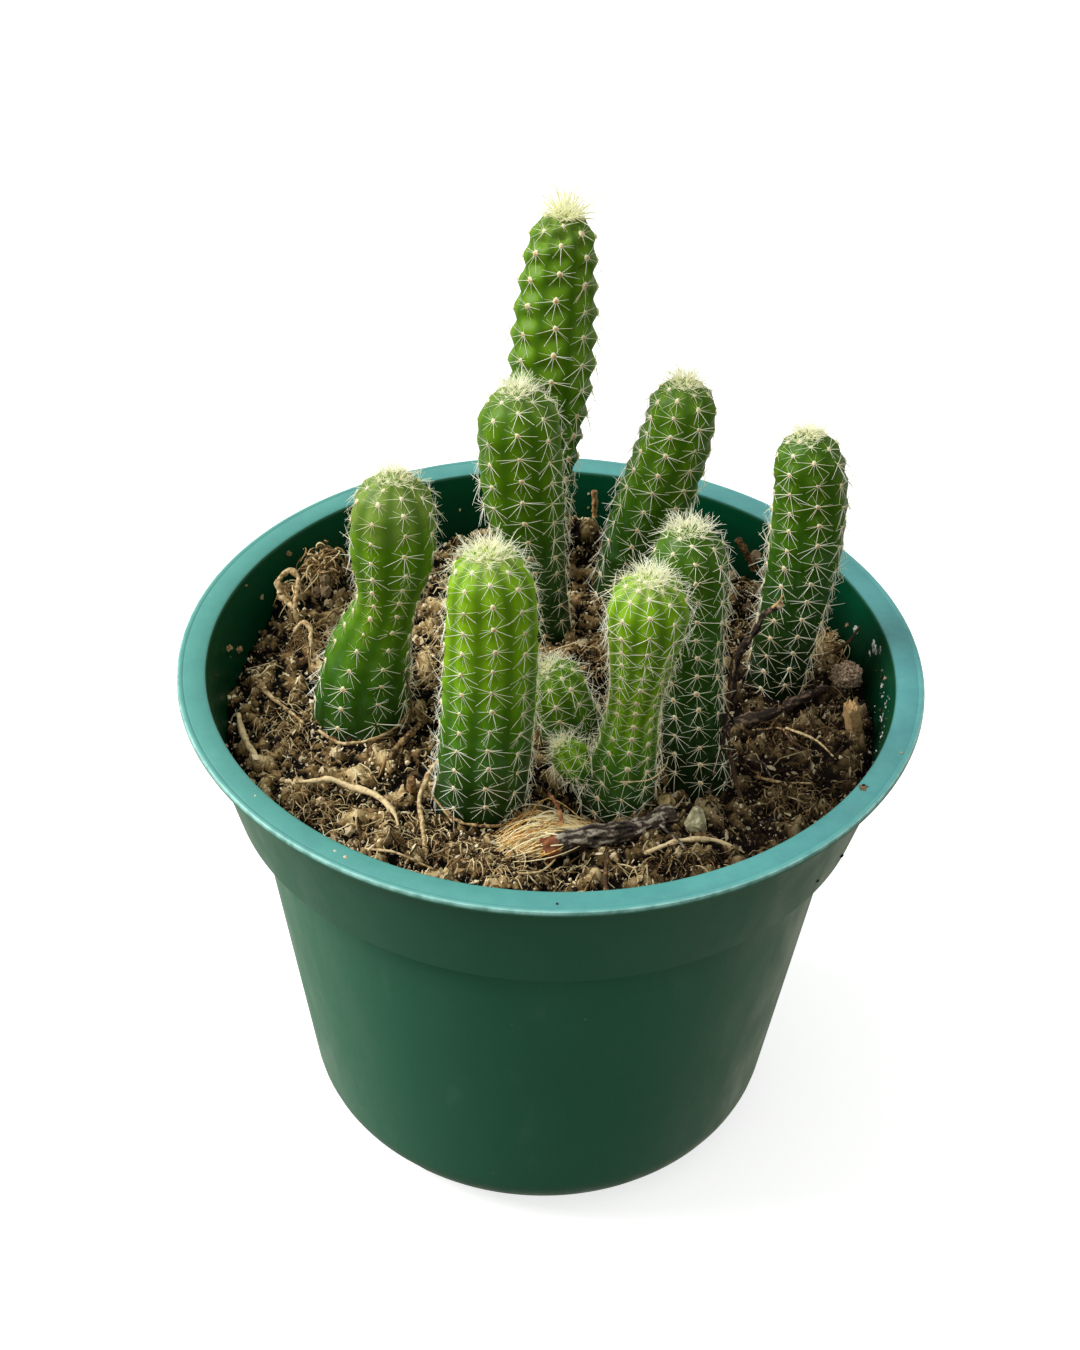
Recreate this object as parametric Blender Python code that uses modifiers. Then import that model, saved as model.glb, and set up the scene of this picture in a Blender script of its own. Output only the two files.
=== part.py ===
"""Peanut cactus clump in a green plastic nursery pot.

Metres, +Z up. The origin is the centre of the pot's base, on the surface it stands on.
Lengths are written in millimetres and multiplied by MM.
"""

import math
import random
from dataclasses import dataclass

import bmesh
import bpy
from mathutils import Matrix, Vector, noise

MM = 0.001
SEED = 11

# Pot: a 114 mm (4.5 inch) azalea pot, three quarters as high as it is wide
RIM_RADIUS = 57.0 * MM
POT_HEIGHT = 85.8 * MM
FLANGE_THICKNESS = 1.2 * MM
MOUTH_RADIUS = 52.5 * MM
COLLAR_HEIGHT = 20.4 * MM
COLLAR_TOP_RADIUS = 54.7 * MM
COLLAR_BOTTOM_RADIUS = 49.5 * MM
STEP_HEIGHT = 3.0 * MM
WALL_TOP_RADIUS = 46.1 * MM
WALL_BOTTOM_RADIUS = 36.7 * MM
WALL_THICKNESS = 1.3 * MM
CORNER_RADIUS = 10.8 * MM
FLOOR_THICKNESS = 1.5 * MM
FOOT_INNER_RADIUS = 19.0 * MM
FOOT_RISE = 1.4 * MM
POT_STEPS = 40
CORNER_STEPS = 3

# Drain slots through the rounded corner
DRAIN_AZIMUTHS = (-130.0, -10.0, 110.0)
DRAIN_WIDTH = 16.0 * MM
DRAIN_TOP = 5.6 * MM
DRAIN_INNER_RADIUS = 30.0 * MM

# Gap between pieces that touch
GAP = 0.3 * MM

# Soil
SOIL_LEVEL = 76.4 * MM
SOIL_MOUND = 1.2 * MM
SOIL_GRID = 4.5 * MM
SOIL_SINK_AT_WALL = 0.6 * MM
CRUMB_WAVES = ((11.0 * MM, 1.3 * MM), (5.5 * MM, 0.7 * MM))
# Clods that stand up and hollows between stems: x, y, height, radius in millimetres
CLODS = (
    (3.0, -23.0, -2.6, 5.0),
    (4.0, 43.0, 6.0, 4.5),
    (-41.0, 24.0, 5.5, 5.0),
    (-33.0, 31.0, 2.5, 6.0),
    (22.0, 40.0, 2.0, 5.0),
    (8.0, 8.0, 2.5, 6.0),
    (-16.0, 10.0, 2.0, 7.0),
    (41.0, -12.0, 2.0, 7.0),
    (-22.0, -36.0, 2.0, 6.0),
    (-4.0, -42.0, 2.2, 5.0),
    (20.0, -37.0, 1.5, 6.0),
)

# Stems
BURIED = 12.0 * MM
FOOT_TAPER = 0.86
RIB_DEPTH = 0.13
TUBERCLE = 0.35 * MM
AREOLE_PITCH = 5.6 * MM
DOME_RINGS = (28.0, 54.0, 75.0)
DOME_LENGTH_RATIO = 1.05
TRACK_STEPS = 14
SPINE_LENGTH = 3.6 * MM
SPINE_WIDTH = 0.42 * MM
SPINE_LEAN = 46.0
SPINE_DROOP = 14.0
SPINE_SOIL_MARGIN = 1.4 * MM
SPINE_WALL_MARGIN = 0.8 * MM
TUFT_LEAN = 22.0
HOLE_CLEARANCE = 0.5 * MM
HOLE_SIDES = 14


@dataclass(frozen=True)
class Stem:
    """One stem: stations (x, y, z, radius) in millimetres from the soil up, the tip of its dome,
    and how many degrees its ribs are turned."""

    ribs: int
    stations: tuple
    tip: tuple
    twist: float = 0.0


STEMS = {
    "stem_back_tall": Stem(8, (
        (-3.0, 37.0, 75.5, 5.2), (-3.0, 37.0, 90.0, 5.3), (-2.3, 37.0, 102.0, 5.9),
        (-1.6, 37.0, 115.0, 6.9), (-1.2, 37.3, 126.0, 6.6), (-0.7, 37.7, 135.0, 6.0),
    ), (-0.3, 38.0, 141.8)),
    "stem_back_middle": Stem(8, (
        (-1.2, 19.0, 75.5, 4.4), (-1.8, 19.0, 81.0, 4.4), (-3.2, 18.7, 91.0, 4.8),
        (-5.1, 18.2, 102.6, 6.3), (-6.1, 18.0, 114.5, 6.4),
    ), (-6.6, 18.0, 122.6), 3.0),
    "stem_left": Stem(8, (
        (-29.0, -3.3, 75.5, 7.5), (-28.9, -3.3, 79.0, 7.7), (-27.6, -3.5, 88.5, 6.5),
        (-24.8, -3.8, 98.5, 4.8), (-23.8, -4.0, 107.8, 6.5), (-23.7, -4.0, 114.2, 6.4),
    ), (-23.6, -4.0, 120.8), 20.0),
    "stem_front_left": Stem(9, (
        (-10.0, -23.2, 75.5, 6.8), (-9.5, -23.3, 84.4, 6.9), (-8.9, -23.5, 95.8, 6.9),
        (-8.6, -23.8, 106.8, 6.8), (-8.7, -24.0, 114.8, 6.4),
    ), (-9.3, -24.0, 122.1), -4.0),
    "stem_short": Stem(8, (
        (3.6, -6.9, 75.5, 5.0), (2.4, -7.0, 80.4, 5.0), (1.2, -7.4, 85.0, 4.8),
    ), (-0.5, -8.0, 90.3)),
    "stem_front_right": Stem(9, (
        (10.5, -21.3, 75.5, 5.5), (11.0, -21.8, 82.2, 5.2), (11.8, -22.8, 92.4, 4.1),
        (12.3, -23.6, 98.6, 4.0), (13.0, -24.8, 108.5, 5.2), (13.2, -25.6, 114.0, 5.8),
    ), (13.2, -26.0, 120.0), -9.0),
    "stem_middle_right": Stem(8, (
        (22.3, -16.0, 75.5, 5.3), (21.6, -15.5, 83.0, 4.9), (21.0, -14.8, 90.0, 4.6),
        (20.3, -13.6, 98.6, 4.8), (19.8, -12.4, 106.7, 5.5), (19.3, -11.6, 112.5, 5.7),
    ), (18.9, -11.5, 118.5), 9.0),
    "stem_back_right": Stem(8, (
        (11.4, 30.6, 75.5, 5.2), (12.4, 30.6, 83.0, 5.4), (14.9, 30.6, 93.0, 6.0),
        (17.7, 30.8, 103.5, 6.0), (19.0, 31.0, 110.5, 5.6),
    ), (19.3, 31.0, 117.2), -17.0),
    "stem_right": Stem(8, (
        (35.7, 9.3, 75.5, 4.7), (36.3, 9.4, 83.8, 5.1), (37.3, 9.5, 91.5, 5.4),
        (38.1, 9.8, 101.0, 5.8), (38.1, 10.0, 110.0, 5.8), (37.5, 10.0, 115.2, 5.5),
    ), (36.5, 10.0, 121.5), 10.0),
}

# The young offset that grows from the front right stem's foot
BUD_PARENT = "stem_front_right"
BUD = Stem(7, ((7.6, -21.4, 80.2, 2.2), (4.6, -21.2, 82.4, 2.9)), (1.6, -21.0, 86.0))
BUD_AREOLE_PITCH = 2.6 * MM
BUD_SPINE_LENGTH = 2.2 * MM

# Sticks, twigs and roots: points (x, y, rise over the soil) and the radius at each end, in millimetres
STICKS = {
    "bark_stick": (((-0.4, -35.0, 0.9), (6.6, -32.0, 0.9), (13.6, -29.0, 1.0), (18.8, -26.9, 0.7)), 1.6, 1.2),
    "twig_upright": (((27.6, 1.2, -2.0), (28.3, 0.6, 4.5), (28.8, 0.9, 10.5), (30.9, 1.2, 14.2),
                      (31.9, 1.2, 17.4), (34.6, 0.8, 20.2)), 0.75, 0.5),
    "twig_right": (((28.8, -3.6, 0.5), (34.9, -0.6, 0.7), (39.9, 3.4, 0.9), (43.6, 6.2, 0.8)), 0.95, 0.6),
    "root_arched": (((-38.8, -21.6, 0.2), (-35.2, -22.7, 1.6), (-32.1, -22.8, 2.6), (-28.9, -23.7, 2.8),
                     (-25.1, -25.7, 2.2), (-22.2, -28.9, 0.9), (-21.4, -31.4, -0.2)), 0.7, 0.55),
    "root_wall": (((-47.2, -7.6, 2.6), (-45.9, -11.6, 1.6), (-43.0, -16.4, 0.3)), 0.65, 0.5),
    "root_front": (((14.4, -34.6, 0.4), (19.4, -33.4, 0.9), (24.3, -32.6, 0.9), (29.0, -32.9, 0.2)), 0.55, 0.4),
}
STICK_STEPS = 2
STICK_WOBBLE = 0.08

# Lumps: centre (x, y, rise over the soil) and three radii in millimetres, share of corner jitter
LUMPS = {
    "pebble_round": ((17.7, -23.7, 0.5), (1.3, 1.2, 1.1), 0.05),
    "pebble_angular": ((21.9, -29.3, 0.8), (1.9, 1.5, 1.8), 0.22),
    "bark_lump": ((46.6, 8.6, 1.6), (2.3, 2.1, 2.2), 0.25),
}

WOOD_CHIP_PLACE = (46.6, -3.8, 2.2)
WOOD_CHIP_SIZE = (1.6, 3.2, 7.0)
WOOD_CHIP_TILT = (8.0, -14.0, 20.0)

STRAW_PLACE = (1.0, -30.0, 0.7)
STRAW_TURN = 13.0
STRAW_CORE = (4.2, 1.6, 1.1)
STRAW_FIBRES = 18
STRAW_REACH_LEFT = (5.0 * MM, 7.5 * MM)
STRAW_REACH_RIGHT = (3.2 * MM, 4.8 * MM)
STRAW_WIDTH = 0.7 * MM
STRAW_SOIL_MARGIN = 0.7 * MM

# Colour, roughness
FINISHES = {
    "pot": ((0.018, 0.105, 0.062), 0.38),
    "soil": ((0.115, 0.075, 0.042), 0.95),
    "stem": ((0.065, 0.19, 0.018), 0.5),
    "bark": ((0.05, 0.03, 0.02), 0.9),
    "straw": ((0.62, 0.45, 0.2), 0.8),
    "wood": ((0.5, 0.38, 0.22), 0.8),
    "root": ((0.45, 0.33, 0.18), 0.85),
    "stone": ((0.38, 0.33, 0.22), 0.7),
}


def clear_scene():
    for item in list(bpy.data.objects):
        bpy.data.objects.remove(item, do_unlink=True)


def make_collection(name, parent=None):
    collection = bpy.data.collections.new(name)
    (parent or bpy.context.scene.collection).children.link(collection)
    return collection


def make_material(name, finish):
    colour, roughness = FINISHES[finish]
    material = bpy.data.materials.new(name)
    material.use_nodes = True
    shader = material.node_tree.nodes["Principled BSDF"]
    shader.inputs["Base Color"].default_value = (*colour, 1.0)
    shader.inputs["Roughness"].default_value = roughness
    shader.inputs["Metallic"].default_value = 0.0
    return material


def add_object(name, mesh, collection, finish=None):
    item = bpy.data.objects.new(name, mesh)
    collection.objects.link(item)
    if finish:
        mesh.materials.append(make_material(name, finish))
        mesh.shade_smooth()
        mesh.set_sharp_from_angle(angle=math.radians(35.0))
    return item


def mesh_from(bm, name):
    bmesh.ops.recalc_face_normals(bm, faces=bm.faces)
    mesh = bpy.data.meshes.new(name)
    bm.to_mesh(mesh)
    bm.free()
    return mesh


def evaluated_mesh(item):
    graph = bpy.context.evaluated_depsgraph_get()
    return bpy.data.meshes.new_from_object(item.evaluated_get(graph))


def add_cutter(name, mesh, collection):
    item = add_object(name, mesh, collection)
    item.hide_render = True
    item.display_type = "WIRE"
    return item


def turned_mesh(name, profile, collection):
    """Turn a profile of (radius, z) points about Z. It runs down the outer side first."""
    bm = bmesh.new()
    verts = [bm.verts.new((radius, 0.0, z)) for radius, z in profile]
    for first, second in zip(verts, verts[1:]):
        bm.edges.new((first, second))
    mesh = bpy.data.meshes.new(name)
    bm.to_mesh(mesh)
    bm.free()
    item = bpy.data.objects.new(name, mesh)
    collection.objects.link(item)
    screw = item.modifiers.new("turn", "SCREW")
    screw.steps = POT_STEPS
    screw.render_steps = POT_STEPS
    screw.use_merge_vertices = True
    screw.merge_threshold = 0.00001
    result = evaluated_mesh(item)
    bpy.data.objects.remove(item, do_unlink=True)
    return result


def arc(centre, radius, start, end, steps):
    """Points of an arc in the profile plane, from start to end in degrees."""
    points = []
    for step in range(steps + 1):
        angle = math.radians(start + (end - start) * step / steps)
        points.append((centre[0] + radius * math.cos(angle), centre[1] + radius * math.sin(angle)))
    return points


def wall_slope():
    return math.atan2(WALL_TOP_RADIUS - WALL_BOTTOM_RADIUS, POT_HEIGHT - COLLAR_HEIGHT - STEP_HEIGHT)


def corner_arc(inset):
    """The rounded bottom corner, from the wall down to the foot, set inwards by inset."""
    slope = wall_slope()
    radius = CORNER_RADIUS
    reach = radius / math.cos(slope) - radius * math.tan(slope)
    centre = (WALL_BOTTOM_RADIUS - reach, radius)
    return arc(centre, radius - inset, -math.degrees(slope), -90.0, CORNER_STEPS)


def inner_wall_radius(z):
    """Radius of the pot's inner face at height z, above its rounded corner."""
    step_bottom = POT_HEIGHT - COLLAR_HEIGHT - STEP_HEIGHT
    step_top = POT_HEIGHT - COLLAR_HEIGHT
    inner_top = MOUTH_RADIUS
    inner_collar = COLLAR_BOTTOM_RADIUS - WALL_THICKNESS
    inner_wall = WALL_TOP_RADIUS - WALL_THICKNESS
    if z >= step_top:
        return inner_collar + (inner_top - inner_collar) * (z - step_top) / COLLAR_HEIGHT
    if z >= step_bottom:
        return inner_wall + (inner_collar - inner_wall) * (z - step_bottom) / STEP_HEIGHT
    return WALL_BOTTOM_RADIUS - WALL_THICKNESS + (WALL_TOP_RADIUS - WALL_BOTTOM_RADIUS) * z / step_bottom


def build_pot(parts, cutters):
    flange_bottom = POT_HEIGHT - FLANGE_THICKNESS
    edge = 0.2 * MM
    step_top = POT_HEIGHT - COLLAR_HEIGHT
    step_bottom = step_top - STEP_HEIGHT
    floor_top = FOOT_RISE + FLOOR_THICKNESS
    profile = [(0.0, floor_top), (FOOT_INNER_RADIUS, floor_top)]
    profile += [(radius, max(z, FLOOR_THICKNESS)) for radius, z in reversed(corner_arc(WALL_THICKNESS))]
    profile += [
        (inner_wall_radius(step_bottom), step_bottom),
        (inner_wall_radius(step_top), step_top),
        (MOUTH_RADIUS, POT_HEIGHT - edge),
        (MOUTH_RADIUS + edge, POT_HEIGHT),
        (RIM_RADIUS - edge, POT_HEIGHT),
        (RIM_RADIUS, POT_HEIGHT - edge),
        (RIM_RADIUS, flange_bottom + edge),
        (RIM_RADIUS - edge, flange_bottom),
        (COLLAR_TOP_RADIUS, flange_bottom),
        (COLLAR_BOTTOM_RADIUS, step_top),
        (WALL_TOP_RADIUS, step_bottom),
    ]
    profile += corner_arc(0.0)
    profile += [(FOOT_INNER_RADIUS, 0.0), (FOOT_INNER_RADIUS - FOOT_RISE, FOOT_RISE), (0.0, FOOT_RISE)]
    mesh = turned_mesh("pot", profile, parts)
    pot = add_object("pot", mesh, parts, "pot")
    slots = make_collection("drain_slots", cutters)
    for azimuth in DRAIN_AZIMUTHS:
        bm = bmesh.new()
        bmesh.ops.create_cube(bm, size=1.0)
        depth = RIM_RADIUS - DRAIN_INNER_RADIUS
        height = DRAIN_TOP * 2.0
        bmesh.ops.scale(bm, vec=(depth, DRAIN_WIDTH, height), verts=bm.verts)
        slant = [e for e in bm.edges if abs(e.verts[0].co.x - e.verts[1].co.x) > depth / 2.0
                 and e.verts[0].co.z > 0.0]
        bmesh.ops.bevel(bm, geom=slant, offset=2.5 * MM, segments=3, affect="EDGES", profile=0.5)
        slot = add_cutter("drain_slot", mesh_from(bm, "drain_slot"), slots)
        angle = math.radians(azimuth)
        middle = DRAIN_INNER_RADIUS + depth / 2.0
        slot.location = (middle * math.cos(angle), middle * math.sin(angle), 0.0)
        slot.rotation_euler = (0.0, 0.0, angle)
    cut = pot.modifiers.new("drain_slots", "BOOLEAN")
    cut.operation = "DIFFERENCE"
    cut.solver = "EXACT"
    cut.operand_type = "COLLECTION"
    cut.collection = slots
    return pot


def soil_height(x, y):
    """Height of the soil's top: a low mound with crumbly waves and the clods that stand up."""
    reach = math.hypot(x, y) / inner_wall_radius(SOIL_LEVEL)
    height = SOIL_LEVEL + SOIL_MOUND * (1.0 - reach * reach) - SOIL_SINK_AT_WALL * reach ** 6
    for index, (length, depth) in enumerate(CRUMB_WAVES):
        height += depth * noise.noise(Vector((x / length, y / length, 3.7 + 5.1 * index)))
    for clod_x, clod_y, rise, radius in CLODS:
        away = math.hypot(x - clod_x * MM, y - clod_y * MM) / (radius * MM)
        height += rise * MM * math.exp(-away * away)
    return height


def catmull_rom(points, step):
    """Point on a smooth curve through points; step counts stations from the first."""
    index = min(int(step), len(points) - 2)
    t = step - index
    before = points[max(index - 1, 0)]
    start = points[index]
    end = points[index + 1]
    after = points[min(index + 2, len(points) - 1)]
    return 0.5 * (2.0 * start + (end - before) * t + (2.0 * before - 5.0 * start + 4.0 * end - after) * t * t
                  + (3.0 * start - before - 3.0 * end + after) * t ** 3)


class Track:
    """A stem's axis as a curve measured along its length, with the crest radius at each place."""

    def __init__(self, stem, buried):
        stations = [Vector(station) * MM for station in stem.stations]
        first = stations[0]
        foot = Vector((first.x, first.y, first.z - buried, first.w * FOOT_TAPER))
        last = stations[-1]
        tip = Vector((*(Vector(stem.tip) * MM), last.w))
        knots = [foot, *stations, tip] if buried > 0.0 else [*stations, tip]
        steps = (len(knots) - 1) * TRACK_STEPS
        self.points = [catmull_rom(knots, step / TRACK_STEPS) for step in range(steps + 1)]
        self.lengths = [0.0]
        for first_point, second_point in zip(self.points, self.points[1:]):
            self.lengths.append(self.lengths[-1] + (second_point.xyz - first_point.xyz).length)
        self.length = self.lengths[-1]
        self.dome = last.w * DOME_LENGTH_RATIO
        self.soil_line = self.lengths[TRACK_STEPS] if buried > 0.0 else 0.0

    def at(self, place):
        """Centre and radius at a distance along the axis."""
        place = min(max(place, 0.0), self.length)
        for index in range(len(self.lengths) - 1):
            if place <= self.lengths[index + 1]:
                span = self.lengths[index + 1] - self.lengths[index]
                return self.points[index].lerp(self.points[index + 1], (place - self.lengths[index]) / span)
        return self.points[-1]

    def frame(self, place):
        """Directions along and across the axis: along, side, front."""
        nudge = 0.5 * MM
        along = (self.at(place + nudge).xyz - self.at(place - nudge).xyz).normalized()
        side = (Vector((1.0, 0.0, 0.0)) - along * along.x).normalized()
        return along, side, along.cross(side)

    def surface_distance(self, point):
        """Distance from a point to the stem's crest surface; negative inside."""
        nearest = min(self.points, key=lambda knot: (knot.xyz - point).length - self.cap(knot))
        return (nearest.xyz - point).length - self.cap(nearest)

    def cap(self, knot):
        """Crest radius of a track point, closing over the dome."""
        left = (self.points[-1].xyz - knot.xyz).length
        if left >= self.dome:
            return knot.w
        return knot.w * math.sqrt(max(1.0 - (1.0 - left / self.dome) ** 2, 0.0))


def ring_plan(track, buried, pitch):
    """Rings of a stem from its foot to its dome: distance along the axis, share of the radius, in open air."""
    body_end = track.length - track.dome
    rings = []
    if buried > 0.0:
        rings = [(1.0 * MM, 0.85, False), (3.0 * MM, 1.0, False)]
    start = track.soil_line
    rows = max(round((body_end - start) / (pitch / 2.0)), 1)
    rings += [(start + (body_end - start) * row / rows, 1.0, True) for row in range(rows + 1)]
    for angle in DOME_RINGS:
        bow = math.radians(angle)
        rings.append((body_end + track.dome * math.sin(bow), math.cos(bow), True))
    return rings


def ribbed_body(stem, track, buried, pitch, tubercle):
    """A stem's ribbed body, with its areoles: (vertex, distance along the axis, row number)."""
    rings = ring_plan(track, buried, pitch)
    around = 2 * stem.ribs
    down = len(rings) + 1
    bm = bmesh.new()
    bmesh.ops.create_uvsphere(bm, u_segments=around, v_segments=down, radius=1.0)
    areoles = []
    for vert in bm.verts:
        level = round((math.pi - math.acos(max(-1.0, min(1.0, vert.co.z)))) / math.pi * down)
        turn = round(math.atan2(vert.co.y, vert.co.x) / (2.0 * math.pi) * around) % around
        if level in (0, down):
            vert.co = track.at(0.0 if level == 0 else track.length).xyz
            continue
        place, share, in_air = rings[level - 1]
        centre = track.at(place)
        along, side, front = track.frame(place)
        crest = turn % 2 == 0
        areole = crest and (level + turn // 2) % 2 == 0
        radius = centre.w if crest else centre.w * (1.0 - RIB_DEPTH)
        if in_air and crest:
            radius += 0.0 if areole else -tubercle * 2.0
        angle = 2.0 * math.pi * turn / around + math.radians(stem.twist)
        vert.co = centre.xyz + (side * math.cos(angle) + front * math.sin(angle)) * radius * share
        if areole and in_air:
            areoles.append((vert, place, level))
    return bm, areoles


def grow_spine(bm, face, root, tip, width):
    """Raise a three-sided needle from a point inside one triangle."""
    bmesh.ops.inset_individual(bm, faces=[face], thickness=0.00001, depth=0.0)
    middle = face.calc_center_median()
    for vert in face.verts:
        vert.co = root + (vert.co - middle).normalized() * width / 2.0
    apex = bmesh.ops.poke(bm, faces=[face])["verts"][0]
    apex.co = tip


def add_spines(bm, areoles, track, length, neighbours):
    """One needle on each areole, leaning to one side in one row and to the other in the next."""
    bmesh.ops.triangulate(bm, faces=bm.faces[:])
    bm.normal_update()
    draw = random.Random(SEED)
    body_end = track.length - track.dome
    for vert, place, row in areoles:
        along, _, _ = track.frame(place)
        lean = math.radians(SPINE_LEAN + draw.uniform(-6.0, 6.0))
        droop = math.radians(SPINE_DROOP + draw.uniform(-6.0, 6.0))
        if place > body_end + track.dome * 0.4:
            lean = math.radians(TUFT_LEAN)
            droop = 0.0
        out = vert.normal
        sideways = along.cross(out).normalized() * (1.0 if row % 2 else -1.0)
        lying = sideways * math.cos(droop) - along * math.sin(droop)
        aim = (out * math.cos(lean) + lying * math.sin(lean)).normalized()
        face = max(vert.link_faces, key=lambda near: (near.calc_center_median() - vert.co).dot(lying))
        root = vert.co.lerp(face.calc_center_median(), 0.6)
        tip = root + aim * length * draw.uniform(0.9, 1.05)
        if not spine_is_clear(root, tip, track, neighbours):
            continue
        grow_spine(bm, face, root, tip, min(SPINE_WIDTH, 0.4 * math.sqrt(face.calc_area())))


def spine_is_clear(root, tip, track, neighbours):
    """True if a spine keeps off the soil and the pot's wall and stays on its own side of every gap."""
    for point in (root, tip):
        if point.z < soil_height(point.x, point.y) + SPINE_SOIL_MARGIN:
            return False
    if math.hypot(tip.x, tip.y) > inner_wall_radius(min(tip.z, POT_HEIGHT)) - SPINE_WALL_MARGIN:
        return tip.z > POT_HEIGHT + SPINE_WALL_MARGIN
    own = track.surface_distance(tip)
    return all(near.surface_distance(tip) > own + 0.3 * MM for near in neighbours)


def apply_union(item, other):
    """Fuse another object into item and remove it."""
    fuse = item.modifiers.new("fuse", "BOOLEAN")
    fuse.operation = "UNION"
    fuse.solver = "EXACT"
    fuse.object = other
    result = evaluated_mesh(item)
    item.modifiers.clear()
    item.data = result
    bpy.data.objects.remove(other, do_unlink=True)


def build_stems(parts):
    tracks = {name: Track(stem, BURIED) for name, stem in STEMS.items()}
    bud_track = Track(BUD, 0.0)
    for name, stem in STEMS.items():
        track = tracks[name]
        neighbours = [other for key, other in tracks.items() if key != name]
        if name == BUD_PARENT:
            neighbours.append(bud_track)
        bm, areoles = ribbed_body(stem, track, BURIED, AREOLE_PITCH, TUBERCLE)
        add_spines(bm, areoles, track, SPINE_LENGTH, neighbours)
        item = add_object(name, mesh_from(bm, name), parts, "stem")
        if name == BUD_PARENT:
            bm, areoles = ribbed_body(BUD, bud_track, 0.0, BUD_AREOLE_PITCH, 0.15 * MM)
            add_spines(bm, areoles, bud_track, BUD_SPINE_LENGTH, list(tracks.values()))
            bud = add_object("bud", mesh_from(bm, "bud"), parts)
            apply_union(item, bud)
    return tracks


def stem_hole(track):
    """A plain round hole for a stem: its smooth shape, a little wider, through the soil's top."""
    bm = bmesh.new()
    heights = [-0.6 * MM, 3.0 * MM, BURIED, BURIED + 4.0 * MM, BURIED + 9.0 * MM]
    bmesh.ops.create_cone(bm, cap_ends=True, segments=HOLE_SIDES, radius1=1.0, radius2=1.0, depth=2.0)
    uprights = [edge for edge in bm.edges if abs(edge.verts[0].co.z - edge.verts[1].co.z) > 1.0]
    bmesh.ops.subdivide_edges(bm, edges=uprights, cuts=len(heights) - 2)
    roundness = 1.0 / math.cos(math.pi / HOLE_SIDES)
    for vert in bm.verts:
        level = round((vert.co.z + 1.0) / 2.0 * (len(heights) - 1))
        place = heights[level]
        centre = track.at(place)
        radius = (centre.w + HOLE_CLEARANCE) * roundness
        _, side, front = track.frame(max(place, 0.0))
        middle = centre.xyz + Vector((0.0, 0.0, min(place, 0.0)))
        vert.co = middle + (side * vert.co.x + front * vert.co.y) * radius
    return mesh_from(bm, "stem_hole")


def stick_object(name, collection, grow, finish=None):
    """A stick, twig or root as a tube through its points, made a mesh; grow widens and lengthens it."""
    points, thick, thin = STICKS[name]
    knots = []
    for x, y, rise in points:
        base = soil_height(x * MM, y * MM)
        knots.append(Vector((x * MM, y * MM, base + rise * MM)))
    steps = (len(knots) - 1) * STICK_STEPS
    route = [catmull_rom(knots, step / STICK_STEPS) for step in range(steps + 1)]
    route[0] = route[0] + (route[0] - route[1]).normalized() * grow
    route[-1] = route[-1] + (route[-1] - route[-2]).normalized() * grow
    draw = random.Random(len(name) + SEED)
    curve = bpy.data.curves.new(name, "CURVE")
    curve.dimensions = "3D"
    curve.bevel_depth = 1.0
    curve.bevel_resolution = 1
    curve.use_fill_caps = True
    spline = curve.splines.new("POLY")
    spline.points.add(len(route) - 1)
    for index, place in enumerate(route):
        share = index / (len(route) - 1)
        radius = (thick + (thin - thick) * share) * MM * (1.0 + draw.uniform(-STICK_WOBBLE, STICK_WOBBLE))
        spline.points[index].co = (*place, 1.0)
        spline.points[index].radius = radius + grow
    tube = bpy.data.objects.new(name + "_curve", curve)
    collection.objects.link(tube)
    mesh = evaluated_mesh(tube)
    bm = bmesh.new()
    bm.from_mesh(mesh)
    bmesh.ops.transform(bm, matrix=tube.matrix_world, verts=bm.verts)
    bmesh.ops.remove_doubles(bm, verts=bm.verts, dist=0.00001)
    bpy.data.objects.remove(tube, do_unlink=True)
    bpy.data.meshes.remove(mesh)
    if finish:
        return add_object(name, mesh_from(bm, name), collection, finish)
    return add_cutter(name + "_seat", mesh_from(bm, name), collection)


def lump_object(name, collection, grow, finish=None):
    """A pebble or lump: a faceted ball with jittered corners; grow makes it bigger all round."""
    (x, y, rise), radii, jitter = LUMPS[name]
    draw = random.Random(len(name) * 3 + SEED)
    bm = bmesh.new()
    bmesh.ops.create_icosphere(bm, subdivisions=2, radius=1.0)
    centre = Vector((x * MM, y * MM, soil_height(x * MM, y * MM) + rise * MM))
    for vert in bm.verts:
        bump = 1.0 + draw.uniform(-jitter, jitter)
        arm = Vector([part * radius * MM * bump for part, radius in zip(vert.co, radii)])
        vert.co = centre + arm + vert.co.normalized() * grow * 1.3
    if finish:
        return add_object(name, mesh_from(bm, name), collection, finish)
    return add_cutter(name + "_seat", mesh_from(bm, name), collection)


def chip_object(collection, grow, finish=None):
    """A flat chip of wood that stands on edge in the soil."""
    bm = bmesh.new()
    bmesh.ops.create_cube(bm, size=1.0)
    size = [part * MM + 2.0 * grow for part in WOOD_CHIP_SIZE]
    bmesh.ops.scale(bm, vec=size, verts=bm.verts)
    for vert in bm.verts:
        if vert.co.z > 0.0:
            vert.co.y *= 0.6
    bmesh.ops.bevel(bm, geom=bm.edges[:], offset=0.25 * MM, segments=1, affect="EDGES", profile=0.5)
    mesh = mesh_from(bm, "wood_chip")
    item = add_object("wood_chip", mesh, collection, finish) if finish else add_cutter("chip_seat", mesh, collection)
    x, y, rise = WOOD_CHIP_PLACE
    item.location = (x * MM, y * MM, soil_height(x * MM, y * MM) + rise * MM)
    item.rotation_euler = [math.radians(turn) for turn in WOOD_CHIP_TILT]
    return item


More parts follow.
